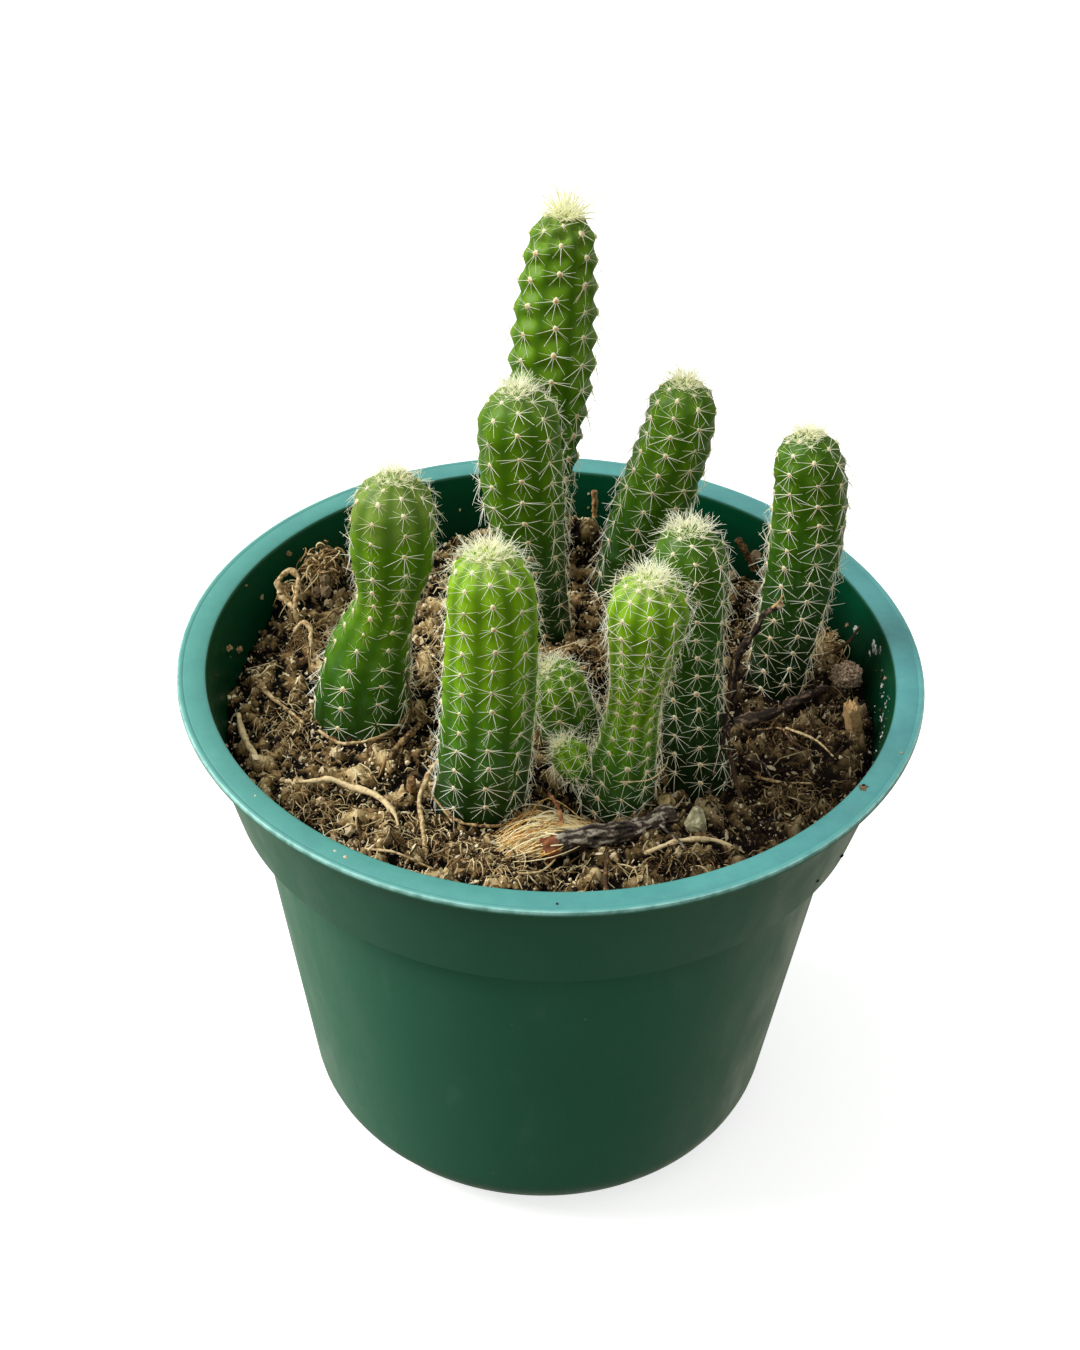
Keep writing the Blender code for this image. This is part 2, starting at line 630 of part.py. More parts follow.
def straw_object(collection, grow, finish=None):
    """A flat wisp of straw: a thin core with fibres that run out of both ends of it."""
    draw = random.Random(SEED + 5)
    x, y, rise = STRAW_PLACE
    centre = Vector((x * MM, y * MM, soil_height(x * MM, y * MM) + rise * MM))
    turn = Matrix.Rotation(math.radians(STRAW_TURN), 3, "Z")
    bm = bmesh.new()
    bmesh.ops.create_icosphere(bm, subdivisions=2, radius=1.0)
    for vert in bm.verts:
        arm = Vector([part * radius * MM for part, radius in zip(vert.co, STRAW_CORE)])
        vert.co = centre + turn @ (arm + vert.co.normalized() * grow * 1.3)
    if not finish:
        return add_cutter("straw_seat", mesh_from(bm, "straw_seat"), collection)
    bm.normal_update()
    along = turn @ Vector((1.0, 0.0, 0.0))
    ends = [face for face in bm.faces if face.normal.z > 0.05
            and abs((face.calc_center_median() - centre).dot(along)) > STRAW_CORE[0] * MM * 0.4]
    ends.sort(key=lambda face: face.normal.z)
    for face in ends[:STRAW_FIBRES]:
        root = face.calc_center_median()
        right = (root - centre).dot(along) > 0.0
        reach = draw.uniform(*(STRAW_REACH_RIGHT if right else STRAW_REACH_LEFT))
        spread = Vector((0.0, face.normal.y * 0.35 + draw.uniform(-0.04, 0.04), 0.1 + 0.35 * face.normal.z))
        aim = (along * (1.0 if right else -1.0) + spread).normalized()
        tip = root + aim * reach
        tip.z = max(tip.z, soil_height(tip.x, tip.y) + STRAW_SOIL_MARGIN)
        grow_spine(bm, face, root, tip, STRAW_WIDTH)
    return add_object("straw_tuft", mesh_from(bm, "straw_tuft"), collection, finish)


def build_debris(parts, seats):
    """The loose things on the soil, each with a seat a little larger than itself to cut into the soil."""
    finishes = {
        "bark_stick": "bark", "twig_upright": "bark", "twig_right": "bark",
        "root_arched": "root", "root_wall": "root", "root_front": "root",
        "pebble_round": "stone", "pebble_angular": "stone", "bark_lump": "bark",
    }
    for name in STICKS:
        stick_object(name, parts, 0.0, finishes[name])
        stick_object(name, seats, GAP)
    for name in LUMPS:
        lump_object(name, parts, 0.0, finishes[name])
        lump_object(name, seats, GAP)
    chip_object(parts, 0.0, "wood")
    chip_object(seats, GAP)
    straw_object(parts, 0.0, "straw")
    straw_object(seats, GAP)


def soil_block():
    """A block whose top is the soil's uneven surface, wider than the pot."""
    reach = RIM_RADIUS
    cells = round(2.0 * reach / SOIL_GRID)
    bm = bmesh.new()
    bmesh.ops.create_grid(bm, x_segments=cells, y_segments=cells, size=reach)
    for vert in bm.verts:
        vert.co.z = soil_height(vert.co.x, vert.co.y)
    rim = [edge for edge in bm.edges if edge.is_boundary]
    lowered = bmesh.ops.extrude_edge_only(bm, edges=rim)["geom"]
    corners = [item for item in lowered if isinstance(item, bmesh.types.BMVert)]
    for vert in corners:
        vert.co.z = -FLOOR_THICKNESS
    bmesh.ops.holes_fill(bm, edges=[edge for edge in bm.edges if edge.is_boundary])
    return mesh_from(bm, "soil_block")


def keep_largest(mesh):
    """Keep only the largest connected body of a mesh."""
    bm = bmesh.new()
    bm.from_mesh(mesh)
    left = set(bm.verts)
    groups = []
    while left:
        group = set()
        queue = [left.pop()]
        while queue:
            vert = queue.pop()
            group.add(vert)
            for edge in vert.link_edges:
                other = edge.other_vert(vert)
                if other in left:
                    left.discard(other)
                    queue.append(other)
        groups.append(group)
    biggest = max(groups, key=len)
    scraps = [vert for group in groups if group is not biggest for vert in group]
    bmesh.ops.delete(bm, geom=scraps, context="VERTS")
    bm.to_mesh(mesh)
    bm.free()


def build_soil(parts, cutters, seats, tracks):
    top = POT_HEIGHT - 2.0 * MM
    step_top = POT_HEIGHT - COLLAR_HEIGHT
    step_bottom = step_top - STEP_HEIGHT
    floor = FOOT_RISE + FLOOR_THICKNESS + GAP
    profile = [(0.0, top), (inner_wall_radius(top) - GAP, top)]
    profile += [(inner_wall_radius(step_top) - GAP, step_top), (inner_wall_radius(step_bottom) - GAP, step_bottom)]
    profile += [(radius, z) for radius, z in corner_arc(WALL_THICKNESS + GAP) if z > floor]
    profile += [(FOOT_INNER_RADIUS, floor), (0.0, floor)]
    soil = add_object("soil", turned_mesh("soil", profile, parts), parts)
    block = add_cutter("soil_block", soil_block(), cutters)
    shape = soil.modifiers.new("top", "BOOLEAN")
    shape.operation = "INTERSECT"
    shape.solver = "EXACT"
    shape.object = block
    for name, track in tracks.items():
        add_cutter(name + "_hole", stem_hole(track), seats)
    holes = soil.modifiers.new("holes", "BOOLEAN")
    holes.operation = "DIFFERENCE"
    holes.solver = "EXACT"
    holes.operand_type = "COLLECTION"
    holes.collection = seats
    result = evaluated_mesh(soil)
    keep_largest(result)
    bpy.data.objects.remove(soil, do_unlink=True)
    for used in [block, *seats.objects]:
        bpy.data.objects.remove(used, do_unlink=True)
    return add_object("soil", result, parts, "soil")


def main():
    clear_scene()
    parts = make_collection("potted_peanut_cactus")
    cutters = make_collection("cutters")
    seats = make_collection("seats", cutters)
    build_pot(parts, cutters)
    tracks = build_stems(parts)
    build_debris(parts, seats)
    build_soil(parts, cutters, seats, tracks)


main()
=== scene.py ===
"""Peanut cactus clump in a green plastic nursery pot: its looks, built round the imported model.

Metres, +Z up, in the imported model's frame. Sizes are written in millimetres and multiplied by MM.
"""

import logging
import random
from bisect import bisect_right
from dataclasses import dataclass, replace
from enum import Enum
from functools import partial
from math import atan2, cos, exp, hypot, pi, radians, sin, sqrt, tan
from typing import Callable

import bmesh
import bpy
from bpy.types import ID, Material, Mesh, NodeSocket, NodeTree, Object
from mathutils import Matrix, Quaternion, Vector, noise


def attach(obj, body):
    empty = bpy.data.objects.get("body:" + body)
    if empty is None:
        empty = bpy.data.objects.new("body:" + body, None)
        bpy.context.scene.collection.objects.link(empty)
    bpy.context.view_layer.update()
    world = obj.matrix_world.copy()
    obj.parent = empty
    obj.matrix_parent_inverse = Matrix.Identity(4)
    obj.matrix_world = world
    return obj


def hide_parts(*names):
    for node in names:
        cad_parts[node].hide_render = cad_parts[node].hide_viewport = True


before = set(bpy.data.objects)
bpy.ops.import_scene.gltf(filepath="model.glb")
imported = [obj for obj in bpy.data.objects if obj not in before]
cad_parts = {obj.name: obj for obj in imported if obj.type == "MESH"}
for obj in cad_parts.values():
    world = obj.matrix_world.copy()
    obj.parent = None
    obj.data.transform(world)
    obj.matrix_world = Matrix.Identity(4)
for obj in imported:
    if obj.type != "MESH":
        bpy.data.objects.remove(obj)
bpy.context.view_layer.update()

MM = 0.001
SEED = 11
BODY = "root"
GOLDEN_ANGLE = 2.39996
log = logging.getLogger("potted_cactus")


class Slot(Enum):
    """The record's material slots."""

    POT = "pot_plastic"
    MIX = "potting_mix"
    STEM = "cactus_stem"
    BARK = "bark"
    WOOD = "dry_wood"
    STRAW = "straw"
    ROOT = "dry_root"
    PEBBLE = "pebble"


# Operations of a Math node, which takes its values in order
Sum = Enum("Sum", "ADD SUBTRACT MULTIPLY MULTIPLY_ADD DIVIDE MODULO MAXIMUM POWER ROUND FRACT COSINE "
                  "ABSOLUTE")


class Node(Enum):
    """Kinds of node: type, sockets filled in order, fixed settings and the output read, if not the first."""

    OFFSET = "ShaderNodeVectorMath", (0, 1), {"operation": "ADD"}
    STRETCH = "ShaderNodeVectorMath", (0, 1), {"operation": "MULTIPLY"}
    SCALE = "ShaderNodeVectorMath", (0, "Scale"), {"operation": "SCALE"}
    MIX = "ShaderNodeMix", (0, 6, 7), {"data_type": "RGBA"}, 2
    BLEND = "ShaderNodeMix", (0, 2, 3), {"data_type": "FLOAT"}
    RAMP = "ShaderNodeValToRGB", ("Fac",)
    NOISE = "ShaderNodeTexNoise", ("Vector", "Scale", "Detail", "Roughness")
    CELLS = "ShaderNodeTexVoronoi", ("Vector", "Scale")
    PLACE = "ShaderNodeTexCoord", (), {}, "Object"
    MAP = "ShaderNodeMapping", ("Vector", "Scale")
    BUMP = "ShaderNodeBump", ("Height", "Strength", "Distance")
    READ = "ShaderNodeAttribute", (), {}, "Fac"
    SPLIT = "ShaderNodeSeparateXYZ", ("Vector",)
    RANGE = "ShaderNodeMapRange", ("Value", "From Min", "From Max", "To Min", "To Max")
    SHADER = "ShaderNodeBsdfPrincipled", ("Base Color", "Roughness", "Normal", "Specular IOR Level")
    NAMED = "GeometryNodeInputNamedAttribute", ("Name",), {"data_type": "FLOAT"}
    NAMED_VECTOR = "GeometryNodeInputNamedAttribute", ("Name",), {"data_type": "FLOAT_VECTOR"}
    STORE = "GeometryNodeStoreNamedAttribute", ("Geometry", "Name", "Value"), {"data_type": "FLOAT"}
    RANDOM = "FunctionNodeRandomValue", (2, 3, "Seed"), {"data_type": "FLOAT"}, 1
    RANDOM_VECTOR = "FunctionNodeRandomValue", (0, 1, "Seed"), {"data_type": "FLOAT_VECTOR"}
    RANDOM_WHOLE = "FunctionNodeRandomValue", (4, 5, "Seed"), {"data_type": "INT"}, 2
    JOIN = "ShaderNodeCombineXYZ", ("X", "Y", "Z")
    MOVE = "GeometryNodeSetPosition", ("Geometry", "Position")
    SHIFT = "GeometryNodeSetPosition", ("Geometry", "Offset")
    WHERE = "GeometryNodeInputPosition", ()
    RING = "GeometryNodeCurvePrimitiveCircle", ("Resolution", "Radius"), {"mode": "RADIUS"}
    SWEEP = "GeometryNodeCurveToMesh", ("Curve", "Profile Curve", "Scale", "Fill Caps")
    ALONG = "GeometryNodeSplineParameter", ()
    EULER = "FunctionNodeEulerToRotation", ("Euler",)
    TURN = "FunctionNodeRotateRotation", ("Rotation", "Rotate By"), {"rotation_space": "LOCAL"}
    INSTANCE = "GeometryNodeInstanceOnPoints", ("Points", "Instance", "Rotation", "Scale")
    REALIZE = "GeometryNodeRealizeInstances", ("Geometry",)
    PAINT = "GeometryNodeSetMaterial", ("Geometry", "Material")
    SMOOTH = "GeometryNodeSetShadeSmooth", ("Geometry",)


def linear(colour: str) -> tuple:
    """Turn an sRGB hex colour to linear."""
    shares = [int(colour[start:start + 2], 16) / 255 for start in (0, 2, 4)]
    return (*[s / 12.92 if s <= 0.04045 else ((s + 0.055) / 1.055) ** 2.4 for s in shares], 1)


def repeats(size: float) -> float:
    """Texture scale for a pattern about this many millimetres across."""
    return 1 / (size * MM)


def wire(tree: NodeTree, kind: "Node | Sum | str", *values: object, output: "int | str | None" = None,
         stops: tuple = (), **settings: object) -> "NodeSocket | None":
    """Add a node with its settings and links.

    Args:
        tree: The tree that it goes in.
        kind: The kind of node, an operation of a Math node, or the type of a node that is used once.
        values: What the input sockets take, in the kind's order: a node's output, a value or a hex colour.
            A list gives one socket several links, and a dict at the end names its own sockets.
        output: The output socket to return, where it isn't the kind's usual one.
        stops: A colour ramp's places and hex colours.
        settings: Properties of the node.

    Returns:
        That output socket, or None where the node has none.
    """
    kept = kind.value if isinstance(kind, Node) else (kind, ())
    if isinstance(kind, Sum):
        kept = "ShaderNodeMath", (0, 1, 2), {"operation": kind.name}
    title, order, fixed, usual = kept + ({}, 0)[len(kept) - 2:]
    node = tree.nodes.new(title)
    for name, value in {**fixed, **settings}.items():
        setattr(node, name, value)
    if stops:
        ramp = node.color_ramp.elements
        while len(ramp) < len(stops):
            ramp.new(1)
        for element, (place, colour) in zip(ramp, stops):
            element.position = place
            element.color = linear(colour)
    named = values[-1] if values and isinstance(values[-1], dict) else {}
    for name, value in [*zip(order, values[:-1] if named else values), *named.items()]:
        socket = node.inputs[name]
        for part in value if isinstance(value, list) else [value]:
            if isinstance(part, NodeSocket):
                tree.links.new(part, socket)
            else:
                socket.default_value = linear(part) if socket.type == "RGBA" else part
    return node.outputs[usual if output is None else output] if len(node.outputs) else None


@dataclass(frozen=True)
class Finish:
    """A surface finish: what the material is and how it was made."""

    name: str

    def material(self) -> Material:
        """The finish as a Blender material, made on first use.

        Returns:
            The material.
        """
        found = bpy.data.materials.get(self.name)
        if found:
            return found
        made = bpy.data.materials.new(self.name)
        made.use_nodes = True
        made.node_tree.nodes.clear()
        add = partial(wire, made.node_tree)
        add("ShaderNodeOutputMaterial", {"Surface": self.shade(add)})
        return made

    def shade(self, add: Callable) -> NodeSocket:
        """Build the finish's nodes, with what adds one to its tree, and return its shader."""
        raise NotImplementedError


@dataclass(frozen=True)
class MouldedPolypropylene(Finish):
    """Injection-moulded polypropylene: a soft sheen over deep green, painted sheen on the rim, painted shade
    inside.
    """

    name: str = "moulded_polypropylene"
    colour: str = "3F7F61"
    cloud_colour: str = "357258"
    # Painted sheen: the rim's top is painted a paler teal, in patches of these two colours.
    sun_colour: str = "5AA6A3"
    patchy_sheen_colour: str = "50999A"
    # Painted highlight: a pale line along the rim's outer edge.
    edge_highlight_colour: str = "A6DDD3"
    # Painted shade: the inner wall is painted dark green.
    damp_colour: str = "00462A"
    # Painted shade deeper down the inner wall, more on the right.
    film_colour: str = "021409"
    dust_colour: str = "A9BCA8"
    roughness: float = 0.38
    gloss: float = 0.5
    flow_size: float = 26.0
    scuff_size: float = 6.0
    speck_size: float = 3.2
    nick_size: float = 1.6
    grain_size: float = 0.5

    def shade(self, add: Callable) -> NodeSocket:
        """Cloudy green, with painted sheen on the rim's top, a painted edge highlight and painted shade
        inside.

        Args:
            add: Adds a node to the material's tree.

        Returns:
            The shader.
        """
        place = add(Node.PLACE)
        sun, edge, damp, film = [add(Node.READ, attribute_name=title)
                                 for title in ("sun", "edge", "damp", "film")]
        cloud = add(Node.NOISE, place, repeats(self.flow_size), 3)
        body = add(Node.MIX, cloud, self.colour, self.cloud_colour)
        patchy = add(Node.RANGE, add(Node.NOISE, place, repeats(self.scuff_size), 6, 0.7), 0.35, 0.6)
        # Painted sheen: a paler teal on the rim's top, in patches.
        sheened = add(Node.MIX, sun, body, add(Node.MIX, patchy, self.patchy_sheen_colour, self.sun_colour))
        bright = add(Node.RANGE, add(Node.NOISE, place, repeats(self.nick_size), 4), 0.3, 0.6, 0.35)
        # Painted highlight along the rim's outer edge, broken up by noise.
        edge_lit = add(Node.MIX, add(Sum.MULTIPLY, edge, bright), sheened, self.edge_highlight_colour)
        # Painted shade over the inner wall, near black deeper down and to the right.
        in_shade = add(Node.MIX, film, add(Node.MIX, damp, edge_lit, self.damp_colour), self.film_colour)
        rub = add(Node.NOISE, add(Node.MAP, place, (1, 1, 0.35)), repeats(self.scuff_size), 5, 0.62)
        scuff = add(Node.RANGE, rub, 0.6, 0.8, 0, 0.1)
        spot = add(Node.RANGE, add(Node.CELLS, place, repeats(self.speck_size)), 0.03, 0.07, 0.5, 0)
        often = add(Node.RANGE, add(Node.NOISE, place, repeats(9), 2), 0.52, 0.64)
        marks = add(Sum.MAXIMUM, add(Sum.MULTIPLY, spot, often), scuff)
        dusty = add(Sum.MULTIPLY, marks, add(Sum.SUBTRACT, 1, damp))
        colour = add(Node.MIX, dusty, in_shade, self.dust_colour)
        matt = add(Node.RANGE, rub, 0.35, 0.75, self.roughness - 0.05, self.roughness + 0.16)
        relief = add(Node.BUMP, add(Node.NOISE, place, repeats(self.grain_size), 2), 0.08, 0.1 * MM)
        return add(Node.SHADER, colour, matt, relief, self.gloss, {
            "IOR": 1.49, "Subsurface Weight": 0.08, "Subsurface Radius": (0.4, 1, 0.8),
            "Subsurface Scale": 1.2 * MM})


def right_shade(add: Callable, place: NodeSocket, most: float) -> NodeSocket:
    """How much painted shade darkens the mix: more to the right, fading towards the back, which is painted a
    little lighter.

    Args:
        add: Adds a node to the material's tree.
        place: The place on the object.
        most: The share of the painted shade colour at the right wall.

    Returns:
        The share of the painted shade colour.
    """
    across, depth = [add(Node.SPLIT, place, output=axis) for axis in "XY"]
    side = add(Node.RANGE, across, 0, 34 * MM, 0, most)
    return add(Sum.MULTIPLY, side, add(Node.RANGE, depth, 8 * MM, 22 * MM, 1, -0.2))


@dataclass(frozen=True)
class PeatAndCoir(Finish):
    """Peat and coir potting mix, dry on top: dead matt, near black to tan, with painted shade in pits and to
    the right.
    """

    name: str = "peat_and_coir"
    deep: str = "080503"
    mid: str = "8E7348"
    dry: str = "E2C994"
    damp: str = "1A0F09"
    clump_size: float = 3.4
    crumb_size: float = 0.6

    def shade(self, add: Callable) -> NodeSocket:
        """Brown in clumps and crumbs, with painted shade taking it to near black in its pits.

        Args:
            add: Adds a node to the material's tree.

        Returns:
            The shader.
        """
        place = add(Node.PLACE)
        clumps = add(Node.NOISE, place, repeats(self.clump_size), 4, 0.65)
        crumbs = add(Node.NOISE, place, repeats(self.crumb_size), 4, 0.7)
        high = add(Node.READ, attribute_name="lift")
        # Painted shade: the lift sinks the colour to near black in the pits and the crevice at the wall.
        level = add(Sum.MULTIPLY_ADD, add(Sum.ADD, clumps, crumbs), 0.5, high)
        dry = add(Node.RAMP, level, stops=((0.4, self.deep), (0.6, self.mid), (0.88, self.dry)))
        # Painted shade: darker to the right and front.
        in_shade = right_shade(add, place, 0.7)
        colour = add(Node.MIX, in_shade, dry, self.damp)
        return add(Node.SHADER, colour, 0.95, add(Node.BUMP, crumbs, 1, 0.45 * MM), 0.15)


@dataclass(frozen=True)
class PlantScrap(Finish):
    """Dry scraps of bark, coir and root: matt and dusty, each its own brown, with painted shade to the right.
    """

    name: str
    dark: str = "2A1C11"
    mid: str = "7A5C3A"
    pale: str = "C9AE7E"
    damp: str = "23170D"
    most_right_shade: float = 0.34
    grain_size: float = 0.35
    contrast: float = 0.5

    def shade(self, add: Callable) -> NodeSocket:
        """One brown for each scrap, with a little grain.

        Args:
            add: Adds a node to the material's tree.

        Returns:
            The shader.
        """
        place = add(Node.PLACE)
        tone = add(Node.READ, attribute_name="tone")
        grain = add(Node.NOISE, place, repeats(self.grain_size), 3)
        even = add(Sum.SUBTRACT, add(Sum.MULTIPLY_ADD, grain, self.contrast, tone), self.contrast / 2)
        # Painted shade: darker to the right and front.
        in_shade = right_shade(add, place, self.most_right_shade)
        level = add(Sum.MULTIPLY_ADD, in_shade, -1.1, even)
        dry = add(Node.RAMP, level, stops=((0, self.dark), (0.5, self.mid), (1, self.pale)))
        colour = add(Node.MIX, in_shade, dry, self.damp)
        return add(Node.SHADER, colour, 0.85, add(Node.BUMP, grain, 0.7, 0.15 * MM), 0.2)


@dataclass(frozen=True)
class CactusSkin(Finish):
    """Living cactus skin: waxy and a little see-through, so that light glows yellow-green in it."""

    name: str = "cactus_skin"
    foot: str = "2A541C"
    shade_colour: str = "071103"
    body: str = "57900F"
    bright: str = "86B30F"
    crown: str = "A3BC50"
    weak_and_shaded: str = "254D03"
    furrow_shade: str = "2C5808"
    bloom_and_sheen: str = "6E9C78"
    mottle_size: float = 3.4
    streak_size: float = 0.7
    pore_size: float = 0.32

    def shade(self, add: Callable) -> NodeSocket:
        """Blue-green foot, green body and pale crown, with painted shade in the furrows and at the foot.

        Args:
            add: Adds a node to the material's tree.

        Returns:
            The shader.
        """
        place = add(Node.PLACE)
        height, crest, vigour = [add(Node.READ, attribute_name=title)
                                 for title in ("height", "crest", "vigour")]
        mottle = add(Node.NOISE, place, repeats(self.mottle_size), 4)
        level = add(Sum.SUBTRACT, add(Sum.MULTIPLY_ADD, mottle, 0.24, height), 0.12)
        # The foot colour is partly painted shade.
        along = add(Node.RAMP, level, stops=((0, self.foot), (0.34, self.body), (0.64, self.bright),
                                             (0.88, self.bright), (0.985, self.crown)))
        # Each stem's vigour, partly painted light and shade: darker on stems that stand in shade.
        strong_and_lit = add(Node.MIX, vigour, self.weak_and_shaded, along)
        # Painted shade along the furrows between the ribs.
        skin = add(Node.MIX, add(Node.RANGE, crest, 0, 0.6, 0.62, 0), strong_and_lit, self.furrow_shade)
        # Waxy bloom, partly painted sheen: pale blue-green patches and streaks, more towards the foot.
        patchy_bloom_and_sheen = add(Node.RANGE, mottle, 0.5, 0.8, 0, 0.32)
        low = add(Node.RANGE, height, 0.1, 0.6, 1, 0.12)
        fine = add(Node.NOISE, add(Node.MAP, place, (1, 1, 0.16)), repeats(self.streak_size), 3)
        bloom_and_sheen_share = add(Sum.MULTIPLY, add(Sum.ADD, patchy_bloom_and_sheen, add(Node.RANGE, fine, 0.48, 0.75, 0, 0.3)), low)
        with_bloom_and_sheen = add(Node.MIX, bloom_and_sheen_share, skin, self.bloom_and_sheen)
        # Painted shade: darker towards the foot.
        colour = add(Node.MIX, add(Node.RANGE, level, -0.02, 0.48, 0.88, 0), with_bloom_and_sheen, self.shade_colour)
        relief = add(Node.BUMP, add(Node.NOISE, place, repeats(self.pore_size), 2), 0.2, 0.06 * MM)
        matt = add(Node.RANGE, mottle, 0.3, 0.7, 0.34, 0.48)
        return add(Node.SHADER, colour, matt, relief, 0.2, {
            "IOR": 1.42, "Subsurface Weight": 0.16, "Subsurface Radius": (0.7, 1, 0.1),
            "Subsurface Scale": 1.2 * MM})


@dataclass(frozen=True)
class AreoleWool(Finish):
    """Short felt on each areole: cream at its edge and rusty pink in its middle."""

    name: str = "areole_wool"
    edge: str = "FFF3CC"
    core: str = "DBAE78"
    tuft_size: float = 0.22

    def shade(self, add: Callable) -> NodeSocket:
        """Cream felt round a rusty middle, which the young areoles of the crown don't have.

        Args:
            add: Adds a node to the material's tree.

        Returns:
            The shader.
        """
        place = add(Node.PLACE)
        middle = add(Node.READ, attribute_name="core")
        youth = add(Node.READ, attribute_name="youth")
        fluff = add(Node.NOISE, place, repeats(self.tuft_size), 3)
        grown = add(Node.RANGE, youth, 0, 0.4, 1, 0)
        share = add(Sum.MULTIPLY, add(Node.RANGE, add(Sum.MULTIPLY, fluff, middle), 0.02, 0.3), grown)
        colour = add(Node.MIX, share, self.edge, self.core)
        relief = add(Node.BUMP, fluff, 0.8, 0.12 * MM)
        return add(Node.SHADER, colour, 0.9, relief, 0.2, {
            "Sheen Weight": 0.4, "Subsurface Weight": 0.6, "Subsurface Scale": 0.3 * MM,
            "Subsurface Radius": (1, 0.9, 0.7)})


@dataclass(frozen=True)
class SpineHorn(Finish):
    """Thin horny spines: cream with a glassy shine, yellow-green while young, tan where they are old."""

    name: str = "spine_horn"
    old: str = "FFFFEE"
    root: str = "F5E9CB"
    young: str = "F0F2B8"
    rusty: str = "CFA468"
    # Painted light: the spines glow with this colour at this strength, though they are no lamp.
    lit: str = "FFF8C4"
    glow: float = 0.16

    def shade(self, add: Callable) -> NodeSocket:
        """Cream, darker at the root, yellow-green near the crown, tan in weathered patches, with a painted
        glow.

        Args:
            add: Adds a node to the material's tree.

        Returns:
            The shader.
        """
        age, share, rust = [add(Node.READ, attribute_name=title) for title in ("youth", "tip_share", "rust")]
        grown = add(Node.MIX, add(Node.RANGE, share, 0, 0.3, 0.5, 0), self.old, self.root)
        colour = add(Node.MIX, age, add(Node.MIX, rust, grown, self.rusty), self.young)
        return add(Node.SHADER, colour, 0.35, {
            "IOR": 1.5, "Subsurface Weight": 0.4, "Subsurface Radius": (1, 0.9, 0.6),
            "Subsurface Scale": 0.2 * MM, "Emission Color": self.lit, "Emission Strength": self.glow})


@dataclass(frozen=True)
class FissuredBark(Finish):
    """Weathered bark on a dead stick: charcoal ridges with grey streaks, red-brown where it broke."""

    name: str = "fissured_bark"
    ridge: str = "4C3F35"
    crack: str = "0D0908"
    lichen: str = "B3A896"
    wood: str = "A0623F"
    wood_dark: str = "5E3424"
    grain_size: float = 0.7

    def shade(self, add: Callable) -> NodeSocket:
        """Ridges and cracks along the stick, and the broken end's colour where it is marked.

        Args:
            add: Adds a node to the material's tree.

        Returns:
            The shader.
        """
        place = add(Node.PLACE)
        broken = add(Node.READ, attribute_name="broken")
        ridges = add(Node.READ, attribute_name="ridge")
        grain = add(Node.NOISE, place, repeats(self.grain_size), 5, 0.7)
        both = add(Sum.MULTIPLY_ADD, grain, 0.4, ridges)
        bark = add(Node.RAMP, both, stops=((0.59, self.crack), (0.66, self.ridge), (0.72, self.ridge),
                                           (0.785, self.lichen)))
        torn = add(Node.RAMP, both, stops=((0.55, self.wood_dark), (0.85, self.wood)))
        colour = add(Node.MIX, broken, bark, torn)
        return add(Node.SHADER, colour, 0.82, add(Node.BUMP, grain, 0.9, 0.3 * MM), 0.3)


@dataclass(frozen=True)
class DriedFibre(Finish):
    """Dry root, straw or split wood: matt, streaked along its length."""

    name: str
    pale: str
    mid: str
    dark: str
    streak_size: float = 0.6

    def shade(self, add: Callable) -> NodeSocket:
        """Streaks of three tones and stains.

        Args:
            add: Adds a node to the material's tree.

        Returns:
            The shader.
        """
        place = add(Node.PLACE)
        tone = add(Node.READ, attribute_name="tone")
        ridges = add(Node.READ, attribute_name="ridge")
        stain = add(Node.NOISE, place, repeats(self.streak_size * 4), 4, 0.65)
        grain = add(Node.NOISE, place, repeats(self.streak_size), 4)
        first = add(Sum.MULTIPLY_ADD, ridges, 0.35, tone)
        level = add(Sum.SUBTRACT, add(Sum.MULTIPLY_ADD, add(Sum.ADD, stain, grain), 0.9, first), 0.9)
        colour = add(Node.RAMP, level, stops=((0.42, self.dark), (0.62, self.mid), (0.95, self.pale)))
        return add(Node.SHADER, colour, 0.78, add(Node.BUMP, grain, 0.6, 0.15 * MM), 0.3)


@dataclass(frozen=True)
class WeatheredStone(Finish):
    """A little weathered stone: matt, chalky, stained by the soil."""

    name: str
    pale: str
    stain: str
    shadow: str
    patch_size: float = 1.1

    def shade(self, add: Callable) -> NodeSocket:
        """Pale stone with stains and pits.

        Args:
            add: Adds a node to the material's tree.

        Returns:
            The shader.
        """
        place = add(Node.PLACE)
        patches = add(Node.NOISE, place, repeats(self.patch_size), 5, 0.65)
        pits = add(Node.NOISE, place, repeats(0.3), 3)
        colour = add(Node.RAMP, patches, stops=((0.34, self.shadow), (0.5, self.stain), (0.64, self.pale)))
        return add(Node.SHADER, colour, 0.72, add(Node.BUMP, pits, 0.7, 0.15 * MM))


@dataclass(frozen=True)
class StudioPaper(Finish):
    """Seamless white studio acrylic, lit a little from below, so that it stays white in the photograph."""

    name: str = "studio_acrylic"
    colour: str = "CFCFCD"
    glow: float = 0.7

    def shade(self, add: Callable) -> NodeSocket:
        """Matt white with a trace of tooth and a faint glow.

        Args:
            add: Adds a node to the material's tree.

        Returns:
            The shader.
        """
        matt = add(Node.RANGE, add(Node.NOISE, add(Node.PLACE), repeats(2), 2), 0, 1, 0.85, 0.95)
        return add(Node.SHADER, self.colour, matt, {"Emission Color": "FFFFFF",
                                                    "Emission Strength": self.glow,
                                                    "Specular IOR Level": 0.1})


POT_PLASTIC = MouldedPolypropylene()
